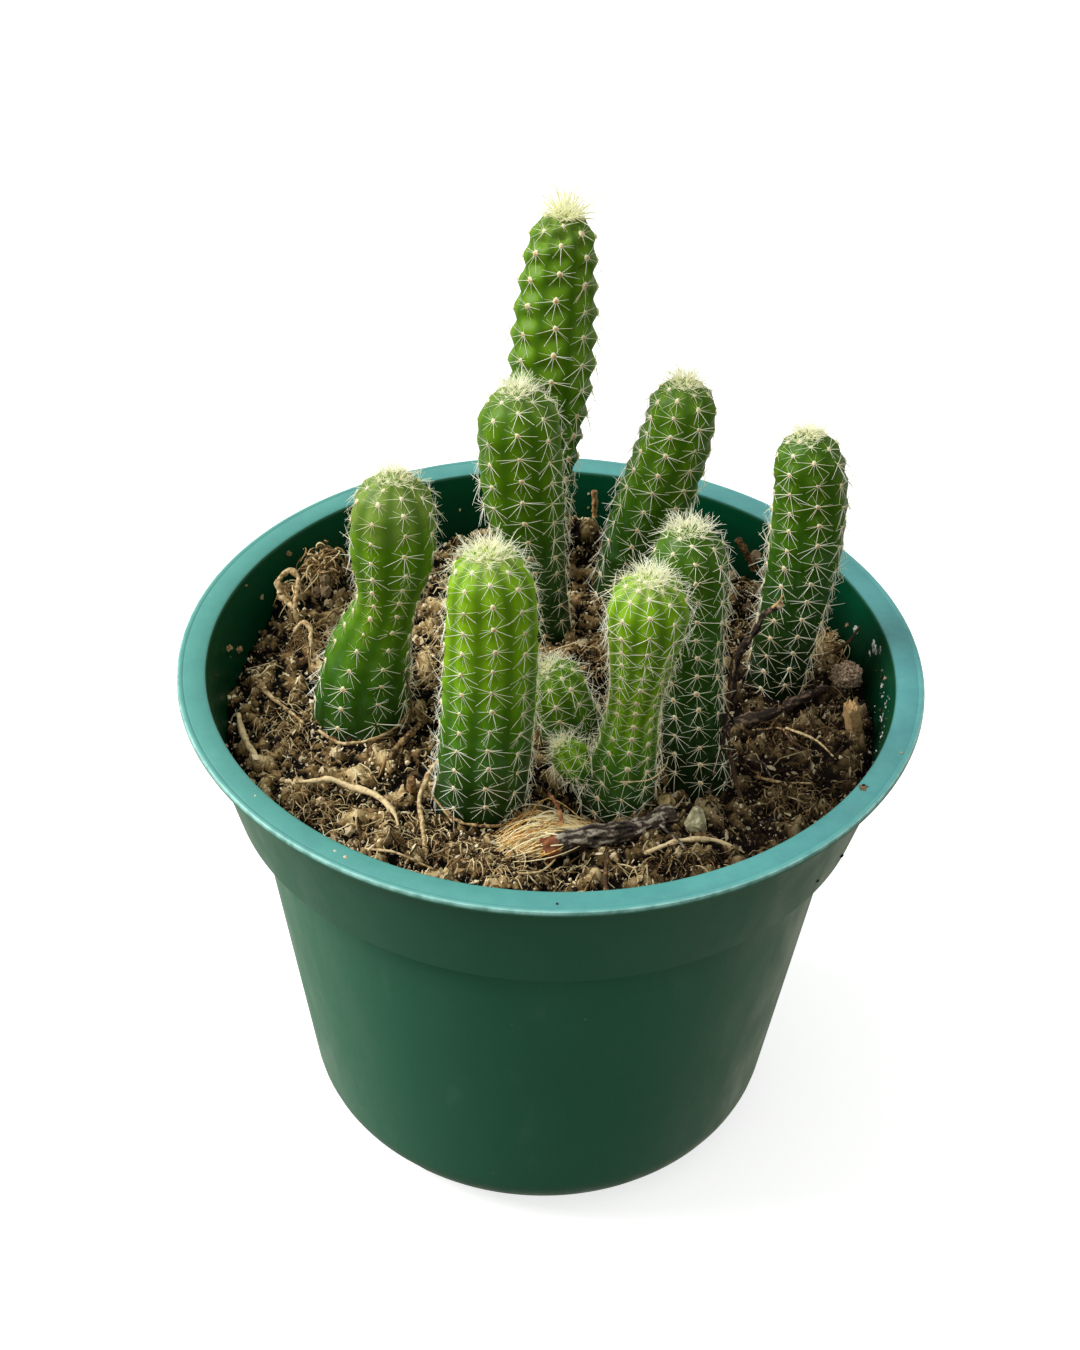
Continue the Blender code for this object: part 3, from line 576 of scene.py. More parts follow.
# The inner wall's plastic, with less gloss; its painted shade comes from the shared attributes.
POT_INSIDE = MouldedPolypropylene("damp_polypropylene", gloss=0.1)
SOIL_MIX = PeatAndCoir()
CRUMB = PlantScrap("dry_crumbs", dark="120A05", mid="A4875B", pale="F4E3BC")
COIR = PlantScrap("coir_fibre", dark="2E1D10", mid="9B7A4B", pale="F0DCAA")
CLOD = PlantScrap("cork_lump", dark="4A3524", mid="B3957A", pale="EBD8BC", most_right_shade=0.02, grain_size=0.4,
                  contrast=3)
CHIP = PlantScrap("bleached_flakes", dark="5E4C38", mid="B09B78", pale="EBE1CA", most_right_shade=0.2)
SALT = PlantScrap("lime_crust", dark="8F8F84", mid="C9CBC2", pale="F4F5F0", most_right_shade=0)
SKIN = CactusSkin()
WOOL = AreoleWool()
HORN = SpineHorn()
BARK = FissuredBark()
TWIG = FissuredBark("split_twig", ridge="2E2119", lichen="75624E", wood="E2D0AC", wood_dark="8F7350")
ROOT = DriedFibre("dried_root", pale="DFC899", mid="9C7D50", dark="44301C")
STRAW = DriedFibre("bleached_straw", pale="FFF2C4", mid="F8CF7C", dark="C48D48")
CURL = DriedFibre("red_brown_bark_curl", pale="D3A173", mid="A06A48", dark="5E3626")
WOOD = DriedFibre("split_wood", pale="C9A572", mid="8F6D42", dark="47311C")
YELLOW_STONE = WeatheredStone("yellow_pebble", pale="DCC78E", stain="B89E66", shadow="6E5C3A")
GREY_STONE = WeatheredStone("grey_green_stone", pale="F0E8C4", stain="BCB38C", shadow="7A7252")
PAPER = StudioPaper()


class Shaper:
    """A Geometry Nodes tree with named inputs, and what it makes of a base mesh."""

    KINDS = {int: "NodeSocketInt", float: "NodeSocketFloat", Material: "NodeSocketMaterial"}

    def __init__(self, name: str, inputs: dict) -> None:
        """Make the tree with its inputs.

        Args:
            name: The tree's name.
            inputs: Each input's name and its type.
        """
        self.tree = bpy.data.node_groups.new(name, "GeometryNodeTree")
        face = self.tree.interface
        face.new_socket(name="Geometry", in_out="INPUT", socket_type="NodeSocketGeometry")
        for title, kind in inputs.items():
            face.new_socket(name=title, in_out="INPUT", socket_type=self.KINDS[kind])
        face.new_socket(name="Geometry", in_out="OUTPUT", socket_type="NodeSocketGeometry")
        self.given = self.tree.nodes.new("NodeGroupInput").outputs
        self.add = partial(wire, self.tree)

    def dressed(self, shape: NodeSocket, material: str) -> NodeSocket:
        """The shape as real geometry, shaded smooth, with the material of this input."""
        return self.add(Node.PAINT, self.add(Node.SMOOTH, self.add(Node.REALIZE, shape)),
                        self.given[material])

    def finish(self, shape: NodeSocket) -> None:
        """End the tree with this geometry."""
        self.add("NodeGroupOutput", {"Geometry": shape})

    def make(self, base: Mesh, values: dict) -> Mesh:
        """Run the tree on a base mesh.

        Args:
            base: The mesh, which is used up.
            values: The value of each named input.

        Returns:
            A plain mesh with the result.
        """
        item = shown(base.name, base)
        modifier = item.modifiers.new(self.tree.name, "NODES")
        modifier.node_group = self.tree
        for socket in self.tree.interface.items_tree:
            if socket.in_out == "INPUT" and socket.name in values:
                modifier[socket.identifier] = values[socket.name]
        graph = bpy.context.evaluated_depsgraph_get()
        result = bpy.data.meshes.new_from_object(item.evaluated_get(graph), preserve_all_data_layers=True,
                                                 depsgraph=graph)
        bpy.data.objects.remove(item, do_unlink=True)
        return result


def clamp(value: float, low: float = 0.0, high: float = 1.0) -> float:
    """The value, or the nearer limit where it is outside them."""
    return min(max(value, low), high)


def shown(name: str, data: ID) -> Object:
    """Put a mesh, light or camera in the scene.

    Args:
        name: The object's name.
        data: What it holds.

    Returns:
        The new object.
    """
    item = bpy.data.objects.new(name, data)
    bpy.context.scene.collection.objects.link(item)
    return item


def poured(name: str, shape: bmesh.types.BMesh) -> Mesh:
    """Turn an edited shape into a mesh.

    Args:
        name: The mesh's name.
        shape: The shape, which is used up.

    Returns:
        The mesh.
    """
    mesh = bpy.data.meshes.new(name)
    shape.to_mesh(mesh)
    shape.free()
    return mesh


def on_circle(radius: float, turn: float, z: float = 0.0) -> Vector:
    """The point at this radius and angle about the Z axis."""
    return Vector((radius * cos(turn), radius * sin(turn), z))


def store(mesh: Mesh, name: str, values: list, vector: bool = False) -> None:
    """Store one number or vector for each point of a mesh.

    Args:
        mesh: The mesh.
        name: The attribute's name.
        values: One value for each vertex.
        vector: True for vectors.
    """
    attribute = mesh.attributes.new(name, "FLOAT_VECTOR" if vector else "FLOAT", "POINT")
    if vector:
        attribute.data.foreach_set("vector", [part for value in values for part in value])
    else:
        attribute.data.foreach_set("value", values)


def place_piece(name: str, mesh: Mesh, slot: Slot, nodes: tuple) -> Object:
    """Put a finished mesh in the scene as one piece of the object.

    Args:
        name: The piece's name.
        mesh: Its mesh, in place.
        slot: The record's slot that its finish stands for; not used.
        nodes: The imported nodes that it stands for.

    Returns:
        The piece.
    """
    mesh.name = name
    piece = shown(name, mesh)
    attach(piece, BODY)
    if nodes:
        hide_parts(*nodes)
    mesh.calc_loop_triangles()
    log.info("%s: %d triangles", name, len(mesh.loop_triangles))
    return piece


def catmull_rom(points: list, step: float) -> Vector:
    """Find a point on a smooth curve through points.

    Args:
        points: The points.
        step: How many points along, from the first.

    Returns:
        The point on the curve.
    """
    index = min(int(step), len(points) - 2)
    t = step - index
    before = points[max(index - 1, 0)]
    start = points[index]
    end = points[index + 1]
    after = points[min(index + 2, len(points) - 1)]
    return 0.5 * (2 * start + (end - before) * t + (2 * before - 5 * start + 4 * end - after) * t * t
                  + (3 * start - before - 3 * end + after) * t ** 3)


@dataclass(frozen=True)
class NurseryPot:
    """The thin-walled plastic nursery pot, turned about Z, in millimetres."""

    rim_radius: float = 57.0
    height: float = 85.8
    flange: float = 1.2
    mouth_radius: float = 52.5
    collar_height: float = 20.4
    collar_top: float = 54.7
    collar_bottom: float = 49.5
    step_height: float = 3.0
    wall_top: float = 46.1
    wall_bottom: float = 36.7
    wall: float = 1.3
    corner: float = 10.8
    floor: float = 1.5
    foot_inner: float = 19.0
    foot_rise: float = 1.4
    drain_azimuths: tuple = (-130.0, -10.0, 110.0)
    drain_width: float = 16.0
    drain_top: float = 5.6
    drain_inner: float = 30.0
    drain_round: float = 2.5
    turns: int = 240
    mouth_lip: tuple = ((-0.05, 1.2), (0.02, 0.55), (0.2, 0.15), (0.55, 0.0))
    rim_lip: tuple = ((1.15, 0.02), (0.95, 0.1), (0.75, 0.02), (0.35, 0.02), (0.1, 0.16), (0.02, 0.4))
    rim_under: tuple = ((0.0, 0.35), (0.12, 0.08), (0.4, 0.0))
    collar_under: tuple = ((0.6, 0.02), (0.1, -0.25), (-0.12, -0.9))

    @property
    def lip(self) -> float:
        """Height of what lies on the rim."""
        return round(self.height + 0.02, 2)

    @property
    def step(self) -> tuple:
        """Heights of the step's top and bottom."""
        top = self.height - self.collar_height
        return top, top - self.step_height

    def inner_radius(self, z: float) -> float:
        """Radius of the inner face at height z, in millimetres, above the rounded corner.

        Args:
            z: The height.

        Returns:
            The radius.
        """
        step_top, step_bottom = self.step
        collar = self.collar_bottom - self.wall
        wall = self.wall_top - self.wall
        if z >= step_top:
            return collar + (self.mouth_radius - collar) * (z - step_top) / self.collar_height
        if z >= step_bottom:
            return wall + (collar - wall) * (z - step_bottom) / self.step_height
        return self.wall_bottom - self.wall + (self.wall_top - self.wall_bottom) * z / step_bottom

    def corner_arc(self, inset: float, steps: int = 10) -> list:
        """Points down the rounded bottom corner.

        Args:
            inset: How far inwards the arc is set.
            steps: How many steps it has.

        Returns:
            Points (radius, height).
        """
        slope = atan2(self.wall_top - self.wall_bottom, self.step[1])
        centre = self.wall_bottom - self.corner / cos(slope) + self.corner * tan(slope)
        reach = self.corner - inset
        angles = [-slope + (slope - pi / 2) * step / steps for step in range(steps + 1)]
        return [(centre + reach * cos(angle), self.corner + reach * sin(angle)) for angle in angles]

    def profile(self) -> list:
        """The section from the inner floor's centre up, over the rim, down outside and under the foot.

        Returns:
            Points (radius, height).
        """
        top = self.height
        step_top, step_bottom = self.step
        floor_top = self.foot_rise + self.floor
        under = top - self.flange
        reach = self.collar_top - self.collar_bottom
        drop = step_bottom - self.corner
        return [
            (0, floor_top), (self.foot_inner, floor_top),
            *[(radius, max(z, self.floor)) for radius, z in reversed(self.corner_arc(self.wall))],
            *[(self.inner_radius(z), z) for z in (step_bottom, step_bottom + 1.5, step_top, step_top + 10,
                                                  step_top + 13, top - 4, top - 2.2)],
            *[(self.mouth_radius + out, top - down) for out, down in self.mouth_lip],
            *[(self.rim_radius - inset, top - down) for inset, down in self.rim_lip],
            *[(self.rim_radius - inset, under + up) for inset, up in self.rim_under],
            *[(self.collar_top + out, under + up) for out, up in self.collar_under],
            *[(self.collar_bottom + reach * share, step_top + (under - step_top) * share)
              for share in (0.66, 0.33, 0.06)],
            (self.collar_bottom, step_top), (self.collar_bottom - 0.35, step_top - 0.25),
            (self.wall_top + 0.35, step_bottom + 0.3), (self.wall_top, step_bottom),
            *[(self.wall_bottom + (self.wall_top - self.wall_bottom) * (z / step_bottom), z)
              for z in (self.corner + drop * 0.75, self.corner + drop * 0.5, self.corner + drop * 0.25)],
            *self.corner_arc(0),
            (self.foot_inner + 0.3, 0), (self.foot_inner, 0.15),
            (self.foot_inner - self.foot_rise, self.foot_rise), (0, self.foot_rise),
        ]

    def turned(self) -> Mesh:
        """The section turned into a closed mesh.

        Returns:
            The mesh.
        """
        shape = bmesh.new()
        rings = [[shape.verts.new(on_circle(radius * MM, 2 * pi * turn / self.turns, z * MM))
                  for turn in range(self.turns if radius else 1)] for radius, z in self.profile()]
        for lower, upper in zip(rings, rings[1:]):
            for turn in range(self.turns):
                after = (turn + 1) % self.turns
                if len(lower) == 1:
                    shape.faces.new((lower[0], upper[after], upper[turn]))
                elif len(upper) == 1:
                    shape.faces.new((lower[turn], lower[after], upper[0]))
                else:
                    shape.faces.new((lower[turn], lower[after], upper[after], upper[turn]))
        bmesh.ops.recalc_face_normals(shape, faces=shape.faces)
        return poured("nursery_pot", shape)

    def drain_slot(self, azimuth: float) -> Object:
        """A block, rounded along its edges, in the shape of one drain slot.

        Args:
            azimuth: Where the slot is, in degrees.

        Returns:
            The block.
        """
        shape = bmesh.new()
        bmesh.ops.create_cube(shape, size=1)
        depth = self.rim_radius - self.drain_inner
        size = (depth * MM, self.drain_width * MM, self.drain_top * 2 * MM)
        bmesh.ops.scale(shape, vec=size, verts=shape.verts)
        long_edges = [edge for edge in shape.edges if edge.verts[0].co.z > 0
                      and abs(edge.verts[0].co.x - edge.verts[1].co.x) > depth * MM / 2]
        bmesh.ops.bevel(shape, geom=long_edges, offset=self.drain_round * MM, segments=6, affect="EDGES",
                        profile=0.5)
        out = Matrix.Translation(((self.drain_inner + depth / 2) * MM, 0, 0))
        bmesh.ops.transform(shape, matrix=Matrix.Rotation(radians(azimuth), 4, "Z") @ out, verts=shape.verts)
        return shown("drain_slot", poured("drain_slot", shape))

    def weather(self, mesh: Mesh) -> None:
        """Mark where the pot gets painted sheen on the rim, a painted edge highlight and painted shade
        inside.

        Args:
            mesh: The pot, which gets an attribute for each.
        """
        rows = []
        for vertex in mesh.vertices:
            radius, z = hypot(*vertex.co.xy) / MM, vertex.co.z / MM
            drop = self.height - z
            right = vertex.co.x / (hypot(*vertex.co.xy) + MM)
            # The painted sheen on the rim's top is stronger towards the right.
            sheen_strength = 0.78 + 0.22 * right
            inside = radius < self.inner_radius(z) + 0.3 and z > self.corner
            # Per point: painted sheen on the rim's top, painted highlight on its outer edge, painted shade
            # over the inner wall, more painted shade deeper down and to the right.
            rows.append((
                sheen_strength * clamp((vertex.normal.z - 0.3) / 0.5) if drop < 1.6 else 0,
                clamp((radius - self.rim_radius + 0.4) / 0.3) if drop < 0.75 else 0,
                clamp((drop - 0.1) / 0.5) if inside else 0,
                clamp((drop - 2) / 6.5) * (0.4 + 0.45 * max(right, 0)) if inside else 0))
        for title, column in zip(("sun", "edge", "damp", "film"), zip(*rows)):
            store(mesh, title, column)

    def build(self) -> Object:
        """Turn the pot, cut its drain slots and dress it.

        Returns:
            The piece.
        """
        blank = shown("pot_blank", self.turned())
        cutters = [self.drain_slot(azimuth) for azimuth in self.drain_azimuths]
        for cutter in cutters:
            cut = blank.modifiers.new("slot", "BOOLEAN")
            cut.operation = "DIFFERENCE"
            cut.solver = "EXACT"
            cut.object = cutter
        graph = bpy.context.evaluated_depsgraph_get()
        result = bpy.data.meshes.new_from_object(blank.evaluated_get(graph), depsgraph=graph)
        for used in (blank, *cutters):
            bpy.data.objects.remove(used, do_unlink=True)
        result.materials.clear()
        result.materials.append(POT_PLASTIC.material())
        result.materials.append(POT_INSIDE.material())
        for face in result.polygons:
            radius, z = hypot(*face.center.xy) / MM, face.center.z / MM
            inside = self.corner < z < self.height - 0.7 and radius < self.inner_radius(z) + 0.3
            face.material_index = int(inside)
        self.weather(result)
        result.shade_smooth()
        result.set_sharp_from_angle(angle=radians(38))
        return place_piece("nursery_pot", result, Slot.POT, ("pot",))


POT = NurseryPot()


@dataclass(frozen=True)
class SoilSurface:
    """The soil's uneven top, in millimetres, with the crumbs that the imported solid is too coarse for."""

    level: float = 76.4
    mound: float = 1.2
    sink_at_wall: float = 0.6
    waves: tuple = ((11.0, 1.3), (5.5, 0.7))
    clods: tuple = (
        (3, -23, -2.6, 5), (4, 43, 6, 4.5), (-41, 24, 5.5, 5), (-33, 31, 2.5, 6),
        (22, 40, 2, 5), (8, 8, 2.5, 6), (-16, 10, 2, 7), (41, -12, 2, 7),
        (-22, -36, 2, 6), (-4, -42, 2.2, 5), (20, -37, 1.5, 6),
    )
    crumb_lumps: tuple = ((4.4, 1.4), (1.9, 0.85), (0.95, 0.75))
    crevice_depth: float = 1.5
    crevice_width: float = 2.2

    def reach(self, x: float, y: float) -> float:
        """How far out a place in metres is, from 0 at the middle to 1 at the wall."""
        return hypot(x, y) / (POT.inner_radius(self.level) * MM)

    def waviness(self, x: float, y: float, length: float, layer: float) -> float:
        """Smooth noise at a place in metres, with waves of this length in millimetres."""
        return noise.noise(Vector((x / (length * MM), y / (length * MM), layer)))

    def height(self, x: float, y: float) -> float:
        """Height in metres of the packed soil's top at a place in metres.

        Args:
            x: How far to the right the place is.
            y: How far back it is.

        Returns:
            The height.
        """
        reach = self.reach(x, y)
        height = (self.level + self.mound * (1 - reach * reach) - self.sink_at_wall * reach ** 6) * MM
        for index, (length, depth) in enumerate(self.waves):
            height += depth * MM * self.waviness(x, y, length, 3.7 + 5.1 * index)
        for clod_x, clod_y, rise, radius in self.clods:
            away = hypot(x - clod_x * MM, y - clod_y * MM) / (radius * MM)
            height += rise * MM * exp(-away * away)
        return height

    def lift(self, x: float, y: float) -> float:
        """How far the crumbs rise over that top, or the pits sink below it, in metres.

        Args:
            x: How far to the right the place is.
            y: How far back it is.

        Returns:
            The rise.
        """
        total = 0
        for index, (length, depth) in enumerate(self.crumb_lumps):
            total += depth * (abs(self.waviness(x, y, length, 8.3 + 2.9 * index)) * 2.4 - 0.6)
        gap = (1 - self.reach(x, y)) * POT.inner_radius(self.level) / self.crevice_width
        return (total - self.crevice_depth * max(1 - gap, 0)) * MM

    def top(self, x: float, y: float) -> float:
        """Height in metres of the finished surface."""
        return self.height(x, y) + self.lift(x, y)

    def spot(self, x: float, y: float, rise: float) -> Vector:
        """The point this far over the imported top, from millimetres to metres."""
        return Vector((x * MM, y * MM, self.height(x * MM, y * MM) + rise * MM))


SOIL = SoilSurface()


class Track:
    """A stem's axis as a curve measured along its length, with the crest radius at each place."""

    STEPS = 40
    CROWDING = 0.62

    def __init__(self, stem: "PeanutStem") -> None:
        """Lay the curve through a stem's stations and tip, and the rows of areoles along it.

        Args:
            stem: The stem.
        """
        stations = [Vector(station) * MM for station in stem.stations]
        first = stations[0]
        last = stations[-1]
        tip = Vector((*(Vector(stem.tip) * MM), last.w))
        knots = [*stations, tip]
        if stem.buried > 0:
            knots.insert(0, Vector((first.x, first.y, first.z - stem.buried * MM, first.w * stem.foot_taper)))
        count = (len(knots) - 1) * self.STEPS
        self.points = [catmull_rom(knots, step / self.STEPS) for step in range(count + 1)]
        self.lengths = [0]
        for one, other in zip(self.points, self.points[1:]):
            self.lengths.append(self.lengths[-1] + (other.xyz - one.xyz).length)
        self.length = self.lengths[-1]
        self.dome = last.w * stem.dome_ratio
        self.body_end = self.length - self.dome
        self.soil_line = self.lengths[self.STEPS] if stem.buried > 0 else 0
        self.widest = max(point.w for point in self.points)
        self.rows = self.lay_rows(stem.pitch * MM)

    def lay_rows(self, pitch: float) -> list:
        """Runs of the rows of areoles, which crowd together where the stem is thin and on its dome.

        Args:
            pitch: The rows' spacing at the widest place.

        Returns:
            Runs of skin length, one for each row from the buried foot up.
        """
        rows = [0]
        while rows[-1] < self.skin_length:
            _, _, bow, _ = self.ring(rows[-1])
            share = self.at(min(rows[-1], self.body_end)).w / self.widest
            rows.append(rows[-1] + pitch * share ** 0.5 * (1 - self.CROWDING * bow / (pi / 2)))
        return rows

    def row_at(self, run: float) -> float:
        """How many rows, and what share of the next, lie below a run."""
        index = clamp(bisect_right(self.rows, run) - 1, 0, len(self.rows) - 2)
        return index + (run - self.rows[index]) / (self.rows[index + 1] - self.rows[index])

    def run_at(self, row: float) -> float:
        """The run of a row, or of a share of the way from one to the next."""
        index = min(int(row), len(self.rows) - 2)
        return self.rows[index] + (self.rows[index + 1] - self.rows[index]) * (row - index)

    def at(self, place: float) -> Vector:
        """Centre and radius at a distance along the axis.

        Args:
            place: The distance from the buried foot.

        Returns:
            The centre, with the radius as its fourth part.
        """
        place = clamp(place, 0, self.length)
        low = clamp(bisect_right(self.lengths, place) - 1, 0, len(self.lengths) - 2)
        share = (place - self.lengths[low]) / (self.lengths[low + 1] - self.lengths[low])
        return self.points[low].lerp(self.points[low + 1], share)

    def axes(self, place: float) -> tuple:
        """Directions along the axis, to its side and to its front.

        Args:
            place: The distance from the buried foot.

        Returns:
            Three unit vectors.
        """
        nudge = 0.5 * MM
        along = (self.at(place + nudge).xyz - self.at(place - nudge).xyz).normalized()
        side = (Vector((1, 0, 0)) - along * along.x).normalized()
        return along, side, along.cross(side)

    def ring(self, run: float) -> tuple:
        """What the skin's ring has at a run of skin length: centre, girth, bow of the dome, axes.

        Args:
            run: The skin's length from the buried foot.

        Returns:
            Centre, girth, bow and axes.
        """
        if run <= self.body_end:
            centre = self.at(run)
            return centre.xyz, centre.w, 0, self.axes(run)
        bow = min((run - self.body_end) / self.dome_arc, 1) * pi / 2
        place = self.body_end + self.dome * sin(bow)
        centre = self.at(place)
        return centre.xyz, centre.w * cos(bow), bow, self.axes(place)

    @property
    def dome_arc(self) -> float:
        """Skin length from the dome's foot to its top."""
        return pi / 4 * (self.dome + self.points[-1].w)

    @property
    def skin_length(self) -> float:
        """Skin length from the buried foot to the top."""
        return self.body_end + self.dome_arc

    def skin(self, run: float, turn: float) -> tuple:
        """Point on the smooth skin and its outward direction.

        Args:
            run: Skin length from the buried foot.
            turn: Angle round the stem.

        Returns:
            The point, and the unit vector out of the skin there.
        """
        centre, girth, bow, (along, side, front) = self.ring(run)
        radial = side * cos(turn) + front * sin(turn)
        out = (radial * cos(bow) + along * sin(bow)).normalized()
        return centre + radial * girth, out


def make_rib_shaper() -> Shaper:
    """Geometry Nodes tree that raises ribs and tubercles on a smooth stem skin.

    Returns:
        The tree.
    """
    shaper = Shaper("ribs_and_tubercles", {
        "Ribs": float, "Rib Depth": float, "Roundness": float, "Tubercle Height": float,
        "Phase Step": float, "Wobble": float, "Skin": Material})
    add, given = shaper.add, shaper.given
    turn, rows, girth, fade = [add(Node.NAMED, title) for title in ("turn", "rows", "girth", "fade")]
    out = add(Node.NAMED_VECTOR, "out")
    rib = add(Sum.DIVIDE, add(Sum.MULTIPLY, turn, given["Ribs"]), 2 * pi)
    nearest = add(Sum.ROUND, rib)
    sharp = add(Sum.COSINE, add(Sum.MULTIPLY, add(Sum.SUBTRACT, rib, nearest), pi))
    crest = add(Node.BLEND, given["Roundness"], sharp, add(Sum.MULTIPLY, sharp, sharp))
    stepped = add(Sum.MULTIPLY, add(Sum.MODULO, nearest, given["Ribs"]), given["Phase Step"])
    beat = add(Sum.MULTIPLY, add(Sum.SUBTRACT, rows, add(Sum.FRACT, stepped)), pi)
    notch = add(Sum.SUBTRACT, add(Sum.ABSOLUTE, add(Sum.COSINE, beat)), 1)
    on_crest = add(Sum.MULTIPLY, add(Sum.MULTIPLY, notch, given["Tubercle Height"]), crest)
    sunk = add(Sum.MULTIPLY, add(Sum.SUBTRACT, crest, 1), given["Rib Depth"])
    relief = add(Sum.ADD, add(Sum.MULTIPLY, sunk, girth), on_crest)
    centred = add(Sum.SUBTRACT, add(Node.NOISE, {"Scale": repeats(7), "Detail": 2}), 0.5)
    sheen_strength = add(Sum.MULTIPLY, add(Sum.MULTIPLY_ADD, centred, given["Wobble"], relief), fade)
    moved = add(Node.SHIFT, given["Geometry"], add(Node.SCALE, out, sheen_strength))
    shaper.finish(shaper.dressed(add(Node.STORE, moved, "crest", crest), "Skin"))
    return shaper


def make_spine_shaper() -> Shaper:
    """Geometry Nodes tree that grows a felt pad and a fan of fine spines on each areole point.

    Returns:
        The tree.
    """
    shaper = Shaper("areoles", {
        "Spines": int, "Slenderness": float, "Fan": float, "Fan Jitter": float, "Lean Jitter": float,
        "Curve": float, "Segments": int, "Pad Detail": int, "Seed": int, "Horn": Material, "Wool": Material})
    add, given = shaper.add, shaper.given
    points = add("GeometryNodeMeshToPoints", {"Mesh": given["Geometry"], "Radius": 0.0001})
    out, down = [add(Node.NAMED_VECTOR, title) for title in ("out", "down")]
    stance = add("FunctionNodeAxesToRotation", {"Primary Axis": out, "Secondary Axis": down},
                 primary_axis="Z", secondary_axis="X")

    line = add("GeometryNodeCurveQuadraticBezier", {
        "Resolution": given["Segments"], "Start": (0, 0, 0), "Middle": (0, 0, 0.55),
        "End": add(Node.JOIN, given["Curve"], 0, 1)})
    share = add(Node.ALONG)
    girth = add(Sum.MULTIPLY, add(Node.RANGE, share, 0, 1, 1, 0.42), given["Slenderness"])
    line = add("GeometryNodeSetCurveRadius",
               {"Curve": add(Node.STORE, line, "tip_share", share), "Radius": girth})
    spine = add(Node.SWEEP, line, add(Node.RING, 3, 1), girth, True)

    copies = add("GeometryNodeDuplicateElements", {"Geometry": points, "Amount": given["Spines"]},
                 domain="POINT")
    number = copies.node.outputs["Duplicate Index"]
    spread = add(Sum.DIVIDE, number, add(Sum.SUBTRACT, given["Spines"], 1))
    fan = add(Node.RANGE, spread, 0, 1, add(Sum.MULTIPLY, given["Fan"], -1), given["Fan"])
    seeds = [add(Sum.ADD, given["Seed"], offset) for offset in (0, 7, 13, 29)]
    jitter, sway = [add(Node.RANDOM, add(Sum.MULTIPLY, given[title], -1), given[title], seed)
                    for title, seed in zip(("Fan Jitter", "Lean Jitter"), seeds)]
    azimuth = add(Sum.ADD, fan, jitter)
    lean = add(Sum.ADD, add(Node.NAMED, "lean"), sway)
    aim = add(Node.TURN, stance, add(Node.EULER, add(Node.JOIN, 0, lean, azimuth)))
    vary = add(Node.RANDOM, 0.66, 1.24, seeds[2])
    short = add(Node.RANGE, add(Sum.ABSOLUTE, azimuth), 1.7, 2.7, 1, 0.72)
    size = add(Sum.MULTIPLY, add(Sum.MULTIPLY, add(Node.NAMED, "reach"), vary), short)
    spines = shaper.dressed(add(Node.INSTANCE, copies, spine, aim, size), "Horn")

    ball = add("GeometryNodeMeshIcoSphere", {"Radius": 1, "Subdivisions": given["Pad Detail"]})
    swell = add(Node.RANGE, add(Node.NOISE, {"Scale": 2.6, "Detail": 1}), 0.3, 0.7, 0.75, 1.25)
    where = add(Node.WHERE)
    marked = add(Node.STORE, ball, "core", add(Node.RANGE, add(Node.SPLIT, where, output="Z"), 0.55, 1))
    pad = add(Node.MOVE, marked, add(Node.STRETCH, add(Node.SCALE, where, swell), (1.15, 0.9, 0.6)))
    turned = add(Node.EULER, add(Node.JOIN, 0, 0, add(Node.RANDOM, -0.5, 0.5, seeds[3])))
    laid = add(Node.TURN, stance, turned)
    pads = shaper.dressed(add(Node.INSTANCE, points, pad, laid, add(Node.NAMED, "pad")), "Wool")
    shaper.finish(add("GeometryNodeJoinGeometry", {"Geometry": [pads, spines]}))
    return shaper


class SkinPoints:
    """Points gathered with numbers and directions for a tree to read."""

    def __init__(self, numbers: tuple, vectors: tuple) -> None:
        """Start with no points.

        Args:
            numbers: Names of the numbers that each point has.
            vectors: Names of the directions that each point has.
        """
        self.points = []
        self.numbers = {name: [] for name in numbers}
        self.vectors = {name: [] for name in vectors}

    def add(self, point: Vector, **values: object) -> None:
        """Add a point with its numbers and directions.

        Args:
            point: Where it is.
            values: Its numbers and directions.
        """
        self.points.append(point)
        for kept in (self.numbers, self.vectors):
            for name, column in kept.items():
                column.append(values[name])

    def mesh(self, name: str, faces: list) -> Mesh:
        """The points as a mesh that carries their numbers and directions.

        Args:
            name: The mesh's name.
            faces: Its faces, as lists of point numbers.

        Returns:
            The mesh.
        """
        made = bpy.data.meshes.new(name)
        made.from_pydata(self.points, [], faces)
        for title, column in self.numbers.items():
            store(made, title, column)
        for title, column in self.vectors.items():
            store(made, title, column, vector=True)
        return made


AREOLE_NUMBERS = ("reach", "lean", "youth", "pad", "rust")


